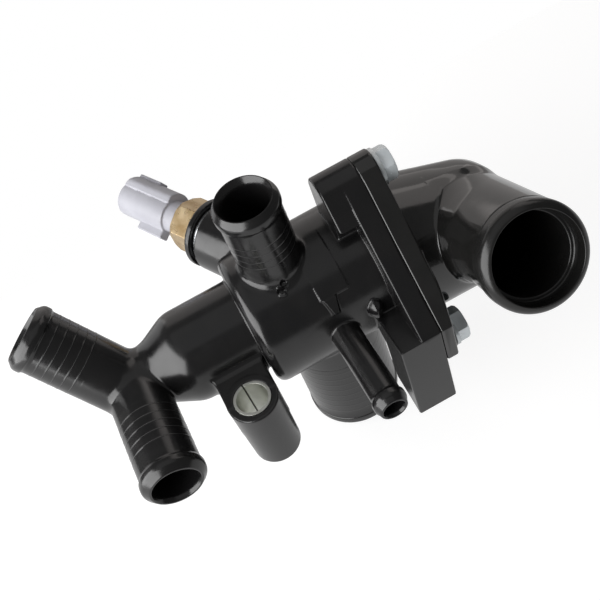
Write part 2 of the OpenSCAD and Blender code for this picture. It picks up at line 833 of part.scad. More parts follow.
module wax_capsule() {
    wax_x = capsule_tip_x + wax_len;
    color("#c58a4e") seated()
    about_x()
        polygon([[0, capsule_tip_x], [capsule_r - tip_round, capsule_tip_x],
                 [capsule_r, capsule_tip_x + tip_round], [capsule_r, capsule_top_x], [stem_r, capsule_top_x],
                 [stem_r, guide_x], [piston_hole_r, guide_x], [piston_hole_r, wax_x], [0, wax_x]]);
}

module guide_cap() {
    color("#b07a42") seated()
    about_x()
        polygon([[piston_hole_r, guide_x], [stem_r, guide_x], [stem_r, guide_x + guide_shoulder],
                 [piston_hole_r + guide_lip, guide_x + guide_h], [piston_hole_r, guide_x + guide_h]]);
}

// Lower strap: two legs on the plate and a ring that guides the capsule
module valve_cage() {
    color("#b9b6a8") seated()
    difference() {
        union() {
            intersection() {
                flange_slab(cage_x, cage_x + cage_t) circle(r = cage_r);
                translate([cage_x - past, -cage_r, -cage_base_w / 2])
                    cube([cage_t + 2 * past, 2 * cage_r, cage_base_w]);
            }
            intersection() {
                flange_slab(cage_x, plate_x) difference() {
                    circle(r = cage_r);
                    circle(r = cage_r - cage_t);
                }
                translate([cage_x - past, -cage_r - past, -cage_w / 2])
                    cube([plate_x - cage_x + 2 * past, 2 * (cage_r + past), cage_w]);
            }
        }
        translate([cage_x - past, 0, 0]) rotate([0, 90, 0])
            cylinder(h = cage_t + 2 * past, r = capsule_r + gap);
    }
}

// Conical coil swept as one tube from the cage to the disc
module valve_spring() {
    sides = 8;
    steps = 20 * spring_turns;
    start_x = cage_x + cage_t + wire_r;
    end_x = disc_x - wire_r;
    start_r = capsule_r + wire_r + spring_room;
    end_r = disc_r - wire_r - spring_inset;
    turn = 360 * spring_turns;
    points = [for (i = [0:steps]) for (k = [0:sides - 1])
        let(f = i / steps, a = turn * f, u = 360 * (k + 0.5) / sides,
            r = start_r + (end_r - start_r) * f + wire_r * cos(u))
        [start_x + (end_x - start_x) * f + wire_r * sin(u), r * cos(a), r * sin(a)]];
    skin = [for (i = [0:steps - 1]) for (k = [0:sides - 1])
        [i * sides + k, i * sides + (k + 1) % sides, (i + 1) * sides + (k + 1) % sides, (i + 1) * sides + k]];
    ends = [[for (k = [sides - 1:-1:0]) k], [for (k = [0:sides - 1]) steps * sides + k]];
    color("#9aa0a4") seated() polyhedron(points, concat(skin, ends), convexity = 10);
}

// Loose bleed pin: head on the outlet side, weight on the chamber side
module jiggle_pin() {
    head_x = plate_face_x + gap;
    weight_x = plate_x - gap - jiggle_lift;
    color("#c9ccd0") seated()
    translate([0, jiggle_at[0], jiggle_at[1]]) rotate([0, 90, 0]) {
        translate([0, 0, weight_x - jiggle_weight_h]) cylinder(h = jiggle_weight_h, r = jiggle_weight_r);
        translate([0, 0, weight_x - lap]) cylinder(h = head_x - weight_x + 2 * lap, r = jiggle_shaft_r);
        translate([0, 0, head_x]) cylinder(h = jiggle_head_h, r = jiggle_head_r);
    }
}

housing();
outlet_cover();
cover_bolts();
bolt_washers();
threaded_inserts();
mount_sleeve();
sensor_body();
sensor_connector();
sensor_terminals();
sensor_ring();
sensor_clip();
valve_plate();
valve_seal();
valve_bridge();
piston_pin();
valve_disc();
wax_capsule();
guide_cap();
valve_cage();
valve_spring();
jiggle_pin();
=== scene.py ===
import math

import bpy
import numpy as np
from mathutils import Matrix, Vector


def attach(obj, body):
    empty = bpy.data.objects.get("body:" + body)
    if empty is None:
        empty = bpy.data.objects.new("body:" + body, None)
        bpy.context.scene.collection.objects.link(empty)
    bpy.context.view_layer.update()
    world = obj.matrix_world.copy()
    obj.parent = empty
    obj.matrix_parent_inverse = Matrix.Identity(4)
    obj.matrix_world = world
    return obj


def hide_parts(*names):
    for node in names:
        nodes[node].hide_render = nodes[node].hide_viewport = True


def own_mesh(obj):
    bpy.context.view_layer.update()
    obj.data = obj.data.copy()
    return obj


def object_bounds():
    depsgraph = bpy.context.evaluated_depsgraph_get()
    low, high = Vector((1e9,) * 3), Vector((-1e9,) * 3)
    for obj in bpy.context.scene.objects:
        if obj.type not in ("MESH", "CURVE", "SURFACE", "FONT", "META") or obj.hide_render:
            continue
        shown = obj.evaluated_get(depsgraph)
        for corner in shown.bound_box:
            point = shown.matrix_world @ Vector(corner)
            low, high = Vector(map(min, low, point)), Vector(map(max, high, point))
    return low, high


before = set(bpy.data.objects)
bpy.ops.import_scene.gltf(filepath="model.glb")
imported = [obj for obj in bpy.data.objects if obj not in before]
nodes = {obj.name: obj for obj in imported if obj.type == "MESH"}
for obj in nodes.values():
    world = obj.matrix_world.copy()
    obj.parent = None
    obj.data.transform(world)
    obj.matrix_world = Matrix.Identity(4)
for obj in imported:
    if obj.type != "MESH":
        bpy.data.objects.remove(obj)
cad_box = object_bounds()

# Sizes are in millimetres, measured from the main tube's axis under the upper spigot.
# SHIFT moves them to the shared frame, whose origin is at the lower end of the fixing sleeve.
MM = 0.001
SHIFT = np.array([25.0, 27.6, 26.2])

# Grid of the mouldings' meshes, and the share of its faces that is kept
CELL = 0.5
KEEP = 0.5

# Main tube and valve chamber
TUBE_R = 15.45
WALL = 2.7
CONE_X = -38.2
NECK_X = -48.6
NECK_R = 10.4
CHAMBER_R = 22.2
CHAMBER_X = -15.4
CHAMBER_ROUND = 4.0

# Flange and its bosses
FLANGE_X = 26.9
JOINT_X = 33.6
COVER_X = 39.8
BOSS_X = 20.5
RIM_D = 27.2
CORNER_Y = -38.7
LEG_BACK_Y = -24.3
LEG_Z = -37.4
BOLT_CIRCLE = 32.5
BOLT_ANGLES = [86, 212, 329]
EAR_R = 6.7
EAR_Z = -15.6
SLANT = 135
CORNER_Z = CORNER_Y + RIM_D * math.sqrt(2)
EAR_SPREAD = 75
RIM_SPREAD = 42
LEG_RISE = 4.4
LEG_ROOT = -12.0
TOP_BOSS_FOOT = 12.0
TOP_BOSS_FRONT = 8.5
TOP_BOSS_ROUND = 5.0
CROWN_RUN = 12.0
CROWN_DROP = 4.0
LEG_PROUD = 0.6
BOSS_INTO = 3.0
BOSS_FILLET = 1.0
FLANGE_EDGE = 0.6
BOSS_EDGE = 0.8
HIDDEN_BOSS_LEN = 8.0

# Hose spigots
HOSE_R = 9.66
HOSE_BORE = 7.0
UPPER_LEN = 49.6
FRONT_X = -55.9
FRONT_LEN = 41.1
LEFT_X = -57.4
LEFT_R = 10.3
LEFT_LEN = 36.6
LEFT_TILT = 44.6
LEFT_TURN = 139.1
BRANCH_Z = 0.8
LOWER_X = 8.8
LOWER_R = 16.1
LOWER_LEN = 63.8
SMALL_X = 9.4
SMALL_R = 4.7
SMALL_BORE = 3.2
SMALL_LEN = 53.7

# Fixing boss and sensor boss
FIX = np.array([-25.0, -27.6, 2.0])
FIX_H = 28.2
FIX_R = 8.2
FIX_DRAFT = 0.4
FIX_EDGE = 0.7
FIX_WEB_DROP = 1.0
SLEEVE_R = 5.9
SENSOR_X = 11.9
SENSOR_TURN = 118.3
SENSOR_RIM = 50.0
SENSOR_BOSS_X = 9.0
SENSOR_BOSS_R = 12.2
SENSOR_BOSS_EDGE = 0.9
SENSOR_PAST = 5.0
SHANK_X = 30.2
SHANK_R = 7.7
PROBE_R = 3.8
CLIP_X = 45.2
CLIP_W = 2.5
CLIP_SLOT_Z = -8.0
CLIP_SLOT_REACH = 15.0

# Outlet cover
BEND = np.array([61.4, -3.4, -5.1])
RISE = 33.9
DOME_START = np.array([39.3, -1.3, -1.0])
DOME_END = np.array([63.5, -4.1, -3.2])
DOME_R = 23.7
DOME_END_R = 20.4
DOME_CAP = 10.0
ELBOW_R = 16.8
OUTLET_R = 15.3
OUTLET_LEN = 56.3
OUTLET_BORE = 12.2
BEAD_R = 16.2
DOME_ROUND = 11.0
FLARE_R = 18.2
FLARE_TIP_R = 13.8
FLARE_ROUND = 6.0
THIN_LEAN = 14
THIN_Y = -29.5
BOLT_HOLE_R = 3.3
BOLT_SEAT_R = 6.4
WASHER_R = 6.5

# Sensor plug, its stations measured along the sensor's axis
PLUG_ROOT = 60.0
PLUG_X = 66.7
PLUG_END = 89.6
PLUG_R = 6.7
PLUG_NECK_R = 5.8
PLUG_BORE = 5.4
PLUG_DEPTH = 16.0
PLUG_TURN = 246
SHELL_R = 8.4
SHELL_HALF = 6.3
SHELL_FROM = 3.2
LOCK_R = 9.3
RAIL_R = 9.3
RAIL_HALF = 2.2
LOCK_MIDDLE = 0.68
LOCK_HALF = 0.23
RAIL_SHARE = 0.52
NOSE_R = 16.6
NOSE_BACK = 15.4

X = np.array([1.0, 0.0, 0.0])
Y = np.array([0.0, 1.0, 0.0])
Z = np.array([0.0, 0.0, 1.0])
CENTRE = np.zeros(3)
FAR = 40.0


def heading(tilt, turn):
    """Direction tilted from +Z and turned about it, in degrees."""
    t = math.radians(tilt)
    h = math.radians(turn)
    return np.array([math.sin(t) * math.cos(h), math.sin(t) * math.sin(h), math.cos(t)])


def polar(r, angle):
    """Point in the flange plane: its first value is Y, its second is Z."""
    a = math.radians(angle)
    return np.array([r * math.cos(a), r * math.sin(a)])


LEFT_ROOT = np.array([LEFT_X, 0.0, BRANCH_Z])
LEFT_DIR = heading(LEFT_TILT, LEFT_TURN)
FRONT_ROOT = np.array([FRONT_X, 0.0, BRANCH_Z])
SENSOR_ROOT = np.array([SENSOR_X, 0.0, 0.0])
SENSOR_DIR = heading(90, SENSOR_TURN)
LOWER_ROOT = np.array([LOWER_X, 0.0, 0.0])
SMALL_ROOT = np.array([SMALL_X, 0.0, 0.0])
OUTLET_DIR = heading(90 - RISE, -90)
OUTLET_SIDE = np.cross(OUTLET_DIR, X)
BOLTS = [polar(BOLT_CIRCLE, a) for a in BOLT_ANGLES]


# Distance fields: each gives how far points lie outside a form, negative inside it
def join(a, b, fillet):
    """Union with a fillet in the corner between the two forms; the fillet may differ from point to point."""
    near = np.maximum(fillet - np.abs(a - b), 0.0) / fillet
    return np.minimum(a, b) - 0.25 * fillet * near * near


def common(a, b, edge):
    """Part inside both forms, with its new edge rounded."""
    return -join(-a, -b, edge)


def cut(a, b, edge):
    """First form without the second, with the new edge rounded."""
    return common(a, -b, edge)


def ball(p, centre, r):
    return np.linalg.norm(p - centre, axis=1) - r


def rod(p, start, end, r0, r1, edge=0.5):
    """Round rod or cone from start to end with rounded end edges."""
    axis = end - start
    length = np.linalg.norm(axis)
    axis = axis / length
    h = (p - start) @ axis
    r = np.linalg.norm(p - start - h[:, None] * axis, axis=1)
    slope = (r1 - r0) / length
    side = (r - r0 - slope * h) / math.sqrt(1 + slope * slope)
    return common(side, np.maximum(-h, h - length), edge)


def block(p, low, high, edge):
    """Box with rounded edges."""
    q = np.abs(p - (low + high) / 2) - (high - low) / 2
    return common(common(q[:, 0], q[:, 1], edge), q[:, 2], edge)


def outline(p, points):
    """Signed distance in the flange plane to a closed line of points."""
    u = p[:, 1]
    v = p[:, 2]
    best = np.full(len(p), 1e9)
    inside = np.zeros(len(p), bool)
    for a, b in zip(points, points[1:] + points[:1]):
        e = b - a
        t = np.clip(((u - a[0]) * e[0] + (v - a[1]) * e[1]) / (e @ e), 0.0, 1.0)
        best = np.minimum(best, (u - a[0] - t * e[0]) ** 2 + (v - a[1] - t * e[1]) ** 2)
        if a[1] != b[1]:
            inside ^= ((a[1] > v) != (b[1] > v)) & (u < e[0] * (v - a[1]) / e[1] + a[0])
    return np.where(inside, -1.0, 1.0) * np.sqrt(best)


def disc(p, centre, r):
    return np.hypot(p[:, 1] - centre[0], p[:, 2] - centre[1]) - r


def slab(p, shape, x0, x1, edge):
    """Plate of an outline between two stations along X."""
    return common(shape, np.maximum(x0 - p[:, 0], p[:, 0] - x1), edge)


# Flange outlines, the same as the solids'
def flange_shape(p):
    """Round rim, slanted front corner and an ear at each bolt."""
    top, side, low = BOLTS
    middle = np.zeros(2)
    shape = disc(p, middle, RIM_D)
    main = [top + polar(EAR_R, SLANT), polar(RIM_D, SLANT), np.array([CORNER_Y, CORNER_Z]),
            np.array([CORNER_Y, EAR_Z]), side + polar(EAR_R, 225), side + polar(EAR_R, 300), middle,
            top + polar(EAR_R, 0)]
    aim = BOLT_ANGLES[2]
    hidden = [middle, polar(RIM_D, aim - RIM_SPREAD), low + polar(EAR_R, aim - EAR_SPREAD),
              low + polar(EAR_R, aim + EAR_SPREAD), polar(RIM_D, aim + RIM_SPREAD)]
    back = [middle, top + polar(EAR_R, 0), polar(RIM_D, BOLT_ANGLES[0] - RIM_SPREAD)]
    for points in (main, hidden, back):
        shape = np.minimum(shape, outline(p, points))
    for bolt in BOLTS:
        shape = np.minimum(shape, disc(p, bolt, EAR_R))
    return shape


def leg_shape(p):
    """Long leg below the slanted corner."""
    points = [(CORNER_Y, CORNER_Z), (CORNER_Y, LEG_Z), (LEG_BACK_Y, LEG_Z + LEG_RISE), (LEG_BACK_Y, LEG_ROOT),
              (LEG_ROOT, 0.0)]
    return outline(p, [np.array(q) for q in points])


def top_boss_shape(p):
    """Boss behind the top bolt, flush with the slanted side."""
    top = BOLTS[0]
    slant = p[:, 1:] @ polar(1.0, SLANT) - RIM_D
    front = top[0] - TOP_BOSS_FRONT - p[:, 1]
    ends = np.maximum(TOP_BOSS_FOOT - p[:, 2], p[:, 2] - top[1])
    shape = np.maximum(common(slant, front, TOP_BOSS_ROUND), ends)
    shape = np.maximum(shape, p[:, 1] - top[0] - EAR_R)
    crown = [top, top + polar(EAR_R, SLANT), polar(RIM_D, SLANT) + polar(CROWN_RUN, SLANT - 90),
             top - polar(CROWN_DROP, 90)]
    shape = np.minimum(shape, outline(p, crown))
    return np.minimum(shape, disc(p, top, EAR_R))


# Housing: raised panel, pad and core end on the chamber
PAD_ANGLE = 146
PAD_X = 9.4
PAD_FROM = -1.6
PAD_RUN = 5.6
PAD_TOP = 2.0
PAD_LOW = 0.7
PAD_H = 0.8
PAD_FLANK = 0.6
PAD_SCALE = 0.86
PAD_ROOT = -2.0
PANEL_X = (6.6, 16.2)
PANEL_H = 0.35
PANEL_RUN = 8.5
CORE_TIP = np.array([18.0, -20.9, 3.6])
CORE_END = np.array([23.5, -21.6, 3.4])
CORE_TIP_R = 3.9
CORE_END_R = 4.6
CORE_ROUND = 5.6

# Housing: gate marks, whose spans and level are shares of the way out from the main axis
GATE = np.array([-0.5, -9.7, 20.0])
GATE_SPAN = (0.9, 1.035)
GATE_R = 1.5
GATE_TOP_R = 1.35
GATE_HOLE_SPAN = (0.97, 1.2)
GATE_HOLE_R = 0.9
SLOT_FROM = np.array([-3.2, -10.9, 19.5])
SLOT_TO = np.array([-0.9, -11.5, 19.2])
SLOT_R = 0.85
SLOT_RIM_LEVEL = 0.98
SLOT_RIM_R = 1.6
SLOT_RIM_EDGE = 0.8

# Housing: stations where the moulding's stubs end and the turned hose ends go on
UPPER_FREE = 27.0
FRONT_FREE = 15.0
LEFT_FREE = 15.5
LOWER_FREE = 27.0
SMALL_FREE = 27.5

# Housing: corners, fillets and edges
CONE_CORNER = 1.2
CONE_SCALE = 0.93
TUBE_FILLET = 0.7
SPIGOT_FILLET = 1.6
UPPER_FILLET = 2.6
SMALL_FILLET = 0.6
SENSOR_FILLET = 2.5
FLANGE_FILLET = 0.5
FIX_FILLET = 2.0
MARK_FILLET = 0.4
BORE_EDGE = 0.5
SLEEVE_EDGE = 0.4
SEAT_EDGE = 0.3
FINE_EDGE = 0.2

# Housing: seats and how far tools reach past a face
CHAMBER_INTO = 5.0
RECESS_DEPTH = 2.8
RECESS_R = CHAMBER_R + 0.2
INSERT_DEPTH = 11.0
INSERT_R = 4.0
INSERT_PAST = 1.0
PAST = 2.0


def tube_radius(x, grow):
    """Radius of the main tube along X: narrow neck, cone and full tube with soft corners."""
    cone = NECK_R + (TUBE_R - NECK_R) * (x - NECK_X) / (CONE_X - NECK_X)
    full = np.full_like(x, TUBE_R)
    neck = np.full_like(x, NECK_R)
    return common(join(cone, full, CONE_CORNER), neck, CONE_CORNER) + grow


def tube(p, grow, end_x):
    """Main tube, grown or shrunk, from its round left end to a station."""
    r = np.hypot(p[:, 1], p[:, 2])
    side = CONE_SCALE * (r - tube_radius(p[:, 0], grow))
    body = np.maximum(side, np.maximum(FRONT_X - p[:, 0], p[:, 0] - end_x))
    return np.minimum(body, ball(p, np.array([FRONT_X, 0.0, 0.0]), NECK_R + grow))


def fixing_boss(p):
    """Post around the sleeve with a web to the main tube."""
    foot = FIX - FIX_H * Z
    post = rod(p, foot, FIX, FIX_R - FIX_DRAFT, FIX_R, FIX_EDGE)
    low = np.array([FIX[0] - FIX_R, FIX[1], FIX[2] - TUBE_R - FIX_WEB_DROP])
    high = np.array([FIX[0] + FIX_R, -TUBE_R + WALL, FIX[2]])
    return join(post, block(p, low, high, FIX_EDGE), MARK_FILLET)


def chamber_pads(p):
    """Raised panel, the tapered pad below it and the blunt core end beside the leg."""
    r = np.hypot(p[:, 1], p[:, 2])
    out = np.array([0.0, *polar(1.0, PAD_ANGLE)])
    s = p @ np.cross(X, out)
    height = p @ out - CHAMBER_R
    run = (s - PAD_FROM) / PAD_RUN
    half = PAD_TOP + (PAD_LOW - PAD_TOP) * run + PAD_FLANK * (PAD_H - height)
    flanks = PAD_SCALE * (np.abs(p[:, 0] - PAD_X) - half)
    pad = common(flanks, np.abs(run - 0.5) * PAD_RUN - PAD_RUN / 2, FINE_EDGE)
    pad = common(pad, np.maximum(height - PAD_H, PAD_ROOT - height), FINE_EDGE)
    thick = PANEL_H * np.clip(1.0 + (s - PAD_FROM) / PANEL_RUN, 0.0, 1.0)
    ends = np.maximum(PANEL_X[0] - p[:, 0], p[:, 0] - PANEL_X[1])
    panel = common(r - CHAMBER_R - thick, ends, FINE_EDGE)
    panel = np.maximum(common(panel, s - PAD_FROM, FINE_EDGE), -p @ out)
    core = rod(p, CORE_TIP, CORE_END, CORE_TIP_R, CORE_END_R, CORE_ROUND)
    return np.minimum(np.minimum(pad, panel), core)


def gate_marks(p):
    """Hollow stub and the low rim around a slot, left by the moulding's gate."""
    stub = rod(p, GATE * GATE_SPAN[0], GATE * GATE_SPAN[1], GATE_R, GATE_TOP_R, SEAT_EDGE)
    rim = rod(p, SLOT_FROM * SLOT_RIM_LEVEL, SLOT_TO * SLOT_RIM_LEVEL, SLOT_RIM_R, SLOT_RIM_R, SLOT_RIM_EDGE)
    return np.minimum(stub, rim)


def gate_hollows(p):
    """Hole in the stub and the slot beside it."""
    hole = rod(p, GATE * GATE_HOLE_SPAN[0], GATE * GATE_HOLE_SPAN[1], GATE_HOLE_R, GATE_HOLE_R, FINE_EDGE)
    slot = rod(p, SLOT_FROM, SLOT_TO, SLOT_R, SLOT_R)
    return np.minimum(hole, slot)


def flange_bosses(p):
    """Flange plate, the leg and the bosses behind the bolts."""
    bosses = slab(p, flange_shape(p), FLANGE_X, JOINT_X, FLANGE_EDGE)
    bosses = np.minimum(bosses, slab(p, leg_shape(p), BOSS_X - LEG_PROUD, JOINT_X, FLANGE_EDGE))
    bosses = np.minimum(bosses, slab(p, top_boss_shape(p), BOSS_X, FLANGE_X + BOSS_INTO, BOSS_EDGE))
    low = BOLTS[2]
    start = np.array([BOSS_X, low[0], low[1]])
    hidden = rod(p, start, start + HIDDEN_BOSS_LEN * X, EAR_R, EAR_R, BOSS_EDGE)
    return join(bosses, hidden, BOSS_FILLET)


def sensor_boss(p):
    start = SENSOR_ROOT + SENSOR_BOSS_X * SENSOR_DIR
    rim = SENSOR_ROOT + SENSOR_RIM * SENSOR_DIR
    return rod(p, start, rim, SENSOR_BOSS_R, SENSOR_BOSS_R, SENSOR_BOSS_EDGE)


def housing_outside(p):
    chamber = rod(p, CHAMBER_X * X, (FLANGE_X + CHAMBER_INTO) * X, CHAMBER_R, CHAMBER_R, CHAMBER_ROUND)
    body = join(tube(p, 0.0, 0.0), chamber, TUBE_FILLET)
    body = join(body, rod(p, FRONT_ROOT, FRONT_ROOT - FRONT_FREE * Y, HOSE_R, HOSE_R), SPIGOT_FILLET)
    left_end = LEFT_ROOT + LEFT_FREE * LEFT_DIR
    left = np.minimum(rod(p, LEFT_ROOT, left_end, LEFT_R, LEFT_R), ball(p, LEFT_ROOT, LEFT_R))
    body = join(body, left, SPIGOT_FILLET)
    body = join(body, sensor_boss(p), SENSOR_FILLET)
    body = join(body, flange_bosses(p), FLANGE_FILLET)
    body = join(body, fixing_boss(p), FIX_FILLET)
    body = join(body, rod(p, CENTRE, UPPER_FREE * Z, HOSE_R, HOSE_R), UPPER_FILLET)
    body = join(body, rod(p, LOWER_ROOT, LOWER_ROOT - LOWER_FREE * Z, LOWER_R, LOWER_R), SPIGOT_FILLET)
    body = join(body, rod(p, SMALL_ROOT, SMALL_ROOT - SMALL_FREE * Y, SMALL_R, SMALL_R), SMALL_FILLET)
    body = join(body, chamber_pads(p), MARK_FILLET)
    return join(body, gate_marks(p), MARK_FILLET)


def housing_waterway(p):
    inner = tube(p, -WALL, 0.0)
    inner = np.minimum(inner, rod(p, (CHAMBER_X + WALL) * X, FAR * X, CHAMBER_R - WALL, CHAMBER_R - WALL))
    inner = np.minimum(inner, rod(p, (JOINT_X - RECESS_DEPTH) * X, FAR * X, RECESS_R, RECESS_R))
    branches = [(CENTRE, Z, HOSE_BORE), (FRONT_ROOT, -Y, HOSE_BORE), (LEFT_ROOT, LEFT_DIR, LEFT_R - WALL),
                (LOWER_ROOT, -Z, LOWER_R - WALL), (SMALL_ROOT, -Y, SMALL_BORE)]
    for root, way, r in branches:
        inner = np.minimum(inner, rod(p, root, root + FAR * way, r, r))
    return inner


def sensor_seat(p):
    """Hole for the sensor's shank and probe, and the open slot for its clip."""
    far = SENSOR_ROOT + (SENSOR_RIM + SENSOR_PAST) * SENSOR_DIR
    hole = rod(p, SENSOR_ROOT + SHANK_X * SENSOR_DIR, far, SHANK_R, SHANK_R)
    hole = np.minimum(hole, rod(p, SENSOR_ROOT, far, PROBE_R, PROBE_R))
    station = (p - SENSOR_ROOT) @ SENSOR_DIR
    gap = np.abs(station - CLIP_X - CLIP_W / 2) - CLIP_W / 2
    slot = common(gap, CLIP_SLOT_Z - p[:, 2], SEAT_EDGE)
    slot = np.maximum(slot, ball(p, SENSOR_ROOT + CLIP_X * SENSOR_DIR, CLIP_SLOT_REACH))
    return np.minimum(hole, slot)


def housing_field(p):
    body = cut(housing_outside(p), housing_waterway(p), BORE_EDGE)
    body = cut(body, sensor_seat(p), SEAT_EDGE)
    body = cut(body, gate_hollows(p), FINE_EDGE)
    body = cut(body, rod(p, FIX - (FIX_H + PAST) * Z, FIX + PAST * Z, SLEEVE_R, SLEEVE_R), SLEEVE_EDGE)
    for y, z in BOLTS:
        pocket = np.array([JOINT_X - INSERT_DEPTH, y, z])
        hole = rod(p, pocket, pocket + (INSERT_DEPTH + INSERT_PAST) * X, INSERT_R, INSERT_R, SEAT_EDGE)
        body = cut(body, hole, SEAT_EDGE)
    return body


# Outlet cover
SWELL = polar(1.0, 40)
SWELL_WAY = SWELL[0] * X + SWELL[1] * OUTLET_SIDE
SWELL_ROOT = BEND + 2.5 * SWELL_WAY - 4.0 * OUTLET_DIR
SWELL_TIP = BEND + 0.85 * SWELL_WAY + 48.3 * OUTLET_DIR
FLARE_ROOT = BEND - 3.0 * X + 3.0 * OUTLET_SIDE + 6.0 * OUTLET_DIR
FLARE_TIP = BEND - 0.6 * X + 0.8 * OUTLET_SIDE + 27.0 * OUTLET_DIR
FLARE_FILLET = 2.0
SKIRT_BACK = 2.0
SKIRT_RUN = 12.0
SKIRT_OUT = 0.27
SKIRT_IN = 1.6
STUB_FROM = 40.0
STUB_R = OUTLET_R - 0.3
OUTLET_FREE = 47.5
THROAT_R = CHAMBER_R - WALL - 0.6
THROAT_BACK = 3.0
THROAT_RUN = 4.5
ELBOW_CORE = np.array([60.4, -3.4, -3.6])
ELBOW_CORE_R = ELBOW_R - 1.0
NARROW_RUN = 12.0
OUTLET_PAST = 70.0
BOLT_HOLE_RUN = 12.0
WASHER_RUN = 7.0
COVER_EDGE = 0.7
COVER_FILLET = 0.8
SEAM_FRONT = 0.9
SEAM_BACK = 3.5
SEAM_FROM = -6.0
SEAM_RUN = 5.0


def cover_flange(p):
    """Plate that thins towards the front, with a flat seat for each bolt."""
    plate = slab(p, flange_shape(p), JOINT_X, COVER_X, COVER_EDGE)
    lean = math.radians(THIN_LEAN)
    thin = (p[:, 0] - COVER_X) * math.cos(lean) - (p[:, 1] - THIN_Y) * math.sin(lean)
    plate = common(plate, thin, COVER_EDGE)
    for y, z in BOLTS:
        seat = np.array([JOINT_X, y, z])
        pad = rod(p, seat, seat + (COVER_X - JOINT_X) * X, BOLT_SEAT_R, BOLT_SEAT_R, MARK_FILLET)
        plate = join(plate, pad, MARK_FILLET)
    return plate


def cover_outside(p):
    """Tapered dome, swollen outlet with a flare at its root, and the flange."""
    dome_length = np.linalg.norm(DOME_END - DOME_START)
    way = (DOME_END - DOME_START) / dome_length
    tip_r = DOME_END_R - (DOME_R - DOME_END_R) * DOME_CAP / dome_length
    dome = rod(p, DOME_START, DOME_END + DOME_CAP * way, DOME_R, tip_r, DOME_ROUND)
    skirt_root = DOME_START - SKIRT_BACK * way
    skirt_end = DOME_START + SKIRT_RUN * way
    dome = np.minimum(dome, rod(p, skirt_root, skirt_end, DOME_R + SKIRT_OUT, DOME_R - SKIRT_IN))
    stub_root = BEND + STUB_FROM * OUTLET_DIR
    stub_end = BEND + (OUTLET_FREE + PAST) * OUTLET_DIR
    outlet = np.minimum(ball(p, SWELL_ROOT, ELBOW_R), rod(p, SWELL_ROOT, SWELL_TIP, ELBOW_R, OUTLET_R))
    outlet = np.minimum(outlet, rod(p, stub_root, stub_end, STUB_R, STUB_R))
    outlet = join(outlet, rod(p, FLARE_ROOT, FLARE_TIP, FLARE_R, FLARE_TIP_R, FLARE_ROUND), FLARE_FILLET)
    seam = SEAM_FRONT + (SEAM_BACK - SEAM_FRONT) * np.clip((p[:, 1] - SEAM_FROM) / SEAM_RUN, 0.0, 1.0)
    body = join(dome, outlet, seam)
    return join(body, cover_flange(p), COVER_FILLET)


def cover_waterway(p):
    inner = rod(p, (JOINT_X - THROAT_BACK) * X, (COVER_X + THROAT_RUN) * X, THROAT_R, THROAT_R)
    inner = np.minimum(inner, rod(p, DOME_START, ELBOW_CORE, THROAT_R, ELBOW_CORE_R))
    inner = np.minimum(inner, ball(p, ELBOW_CORE, ELBOW_CORE_R))
    narrow = BEND + (OUTLET_LEN - NARROW_RUN) * OUTLET_DIR
    inner = np.minimum(inner, rod(p, BEND, narrow, ELBOW_R - WALL, OUTLET_BORE))
    return np.minimum(inner, rod(p, BEND, BEND + OUTLET_PAST * OUTLET_DIR, OUTLET_BORE, OUTLET_BORE))


def cover_field(p):
    body = cut(cover_outside(p), cover_waterway(p), BORE_EDGE)
    for y, z in BOLTS:
        hole = np.array([JOINT_X - PAST, y, z])
        seat = np.array([COVER_X, y, z])
        drill = rod(p, hole, hole + BOLT_HOLE_RUN * X, BOLT_HOLE_R, BOLT_HOLE_R, FINE_EDGE)
        room = rod(p, seat, seat + WASHER_RUN * X, WASHER_R, WASHER_R, FINE_EDGE)
        body = cut(body, drill, FINE_EDGE)
        body = cut(body, room, SEAT_EDGE)
    return body


# Sensor plug
PLUG_EDGE = 0.3
PLUG_ROUND = 0.6
NOSE_EDGE = 1.2
RAIL_EDGE = 0.5
RAIL_ROUND = 0.8
MOUTH_EDGE = 0.4


def plug_field(p):
    """Round barrel with a flush half shell, a thin lock rail, a wide rail, a neck and the socket."""
    q = p - SENSOR_ROOT
    s = q @ SENSOR_DIR
    turn_x, turn_y = polar(1.0, PLUG_TURN)
    side = np.cross(SENSOR_DIR, -Z)
    a = q @ (-turn_x * Z + turn_y * side)
    b = q @ (-turn_x * side - turn_y * Z)
    r = np.hypot(a, b)
    length = PLUG_END - PLUG_X
    shell = common(r - SHELL_R, np.abs(b) - SHELL_HALF, PLUG_ROUND)
    shell = common(shell, SHELL_FROM - a, FINE_EDGE)
    body = np.minimum(r - PLUG_R, shell)
    nose = ball(p, SENSOR_ROOT + (PLUG_END - NOSE_BACK) * SENSOR_DIR, NOSE_R)
    body = common(body, nose, NOSE_EDGE)
    body = common(body, s - PLUG_END, PLUG_ROUND)
    lock = common(np.abs(b) - RAIL_HALF, np.maximum(a - LOCK_R, SHELL_FROM - a), PLUG_EDGE)
    lock = common(lock, np.abs(s - PLUG_X - LOCK_MIDDLE * length) - LOCK_HALF * length, PLUG_EDGE)
    rail = common(np.abs(b) - RAIL_HALF, np.maximum(-a - RAIL_R, a), RAIL_EDGE)
    rail = common(rail, s - PLUG_X - RAIL_SHARE * length, RAIL_ROUND)
    body = common(np.minimum(body, np.minimum(lock, rail)), PLUG_X - s, PLUG_EDGE)
    neck = common(r - PLUG_NECK_R, np.maximum(PLUG_ROOT - s, s - PLUG_X - PAST), PLUG_EDGE)
    body = join(body, neck, PLUG_EDGE)
    socket = common(r - PLUG_BORE, PLUG_END - PLUG_DEPTH - s, PLUG_EDGE)
    return cut(body, socket, MOUTH_EDGE)


# Meshing of a distance field
def slope_of(field, p):
    """Gradient of a field from four nearby points."""
    step = 0.04
    total = np.zeros_like(p)
    for corner in ((1, -1, -1), (-1, -1, 1), (-1, 1, -1), (1, 1, 1)):
        e = np.array(corner, float)
        total += field(p + step * e)[:, None] * e
    return total / (4 * step)


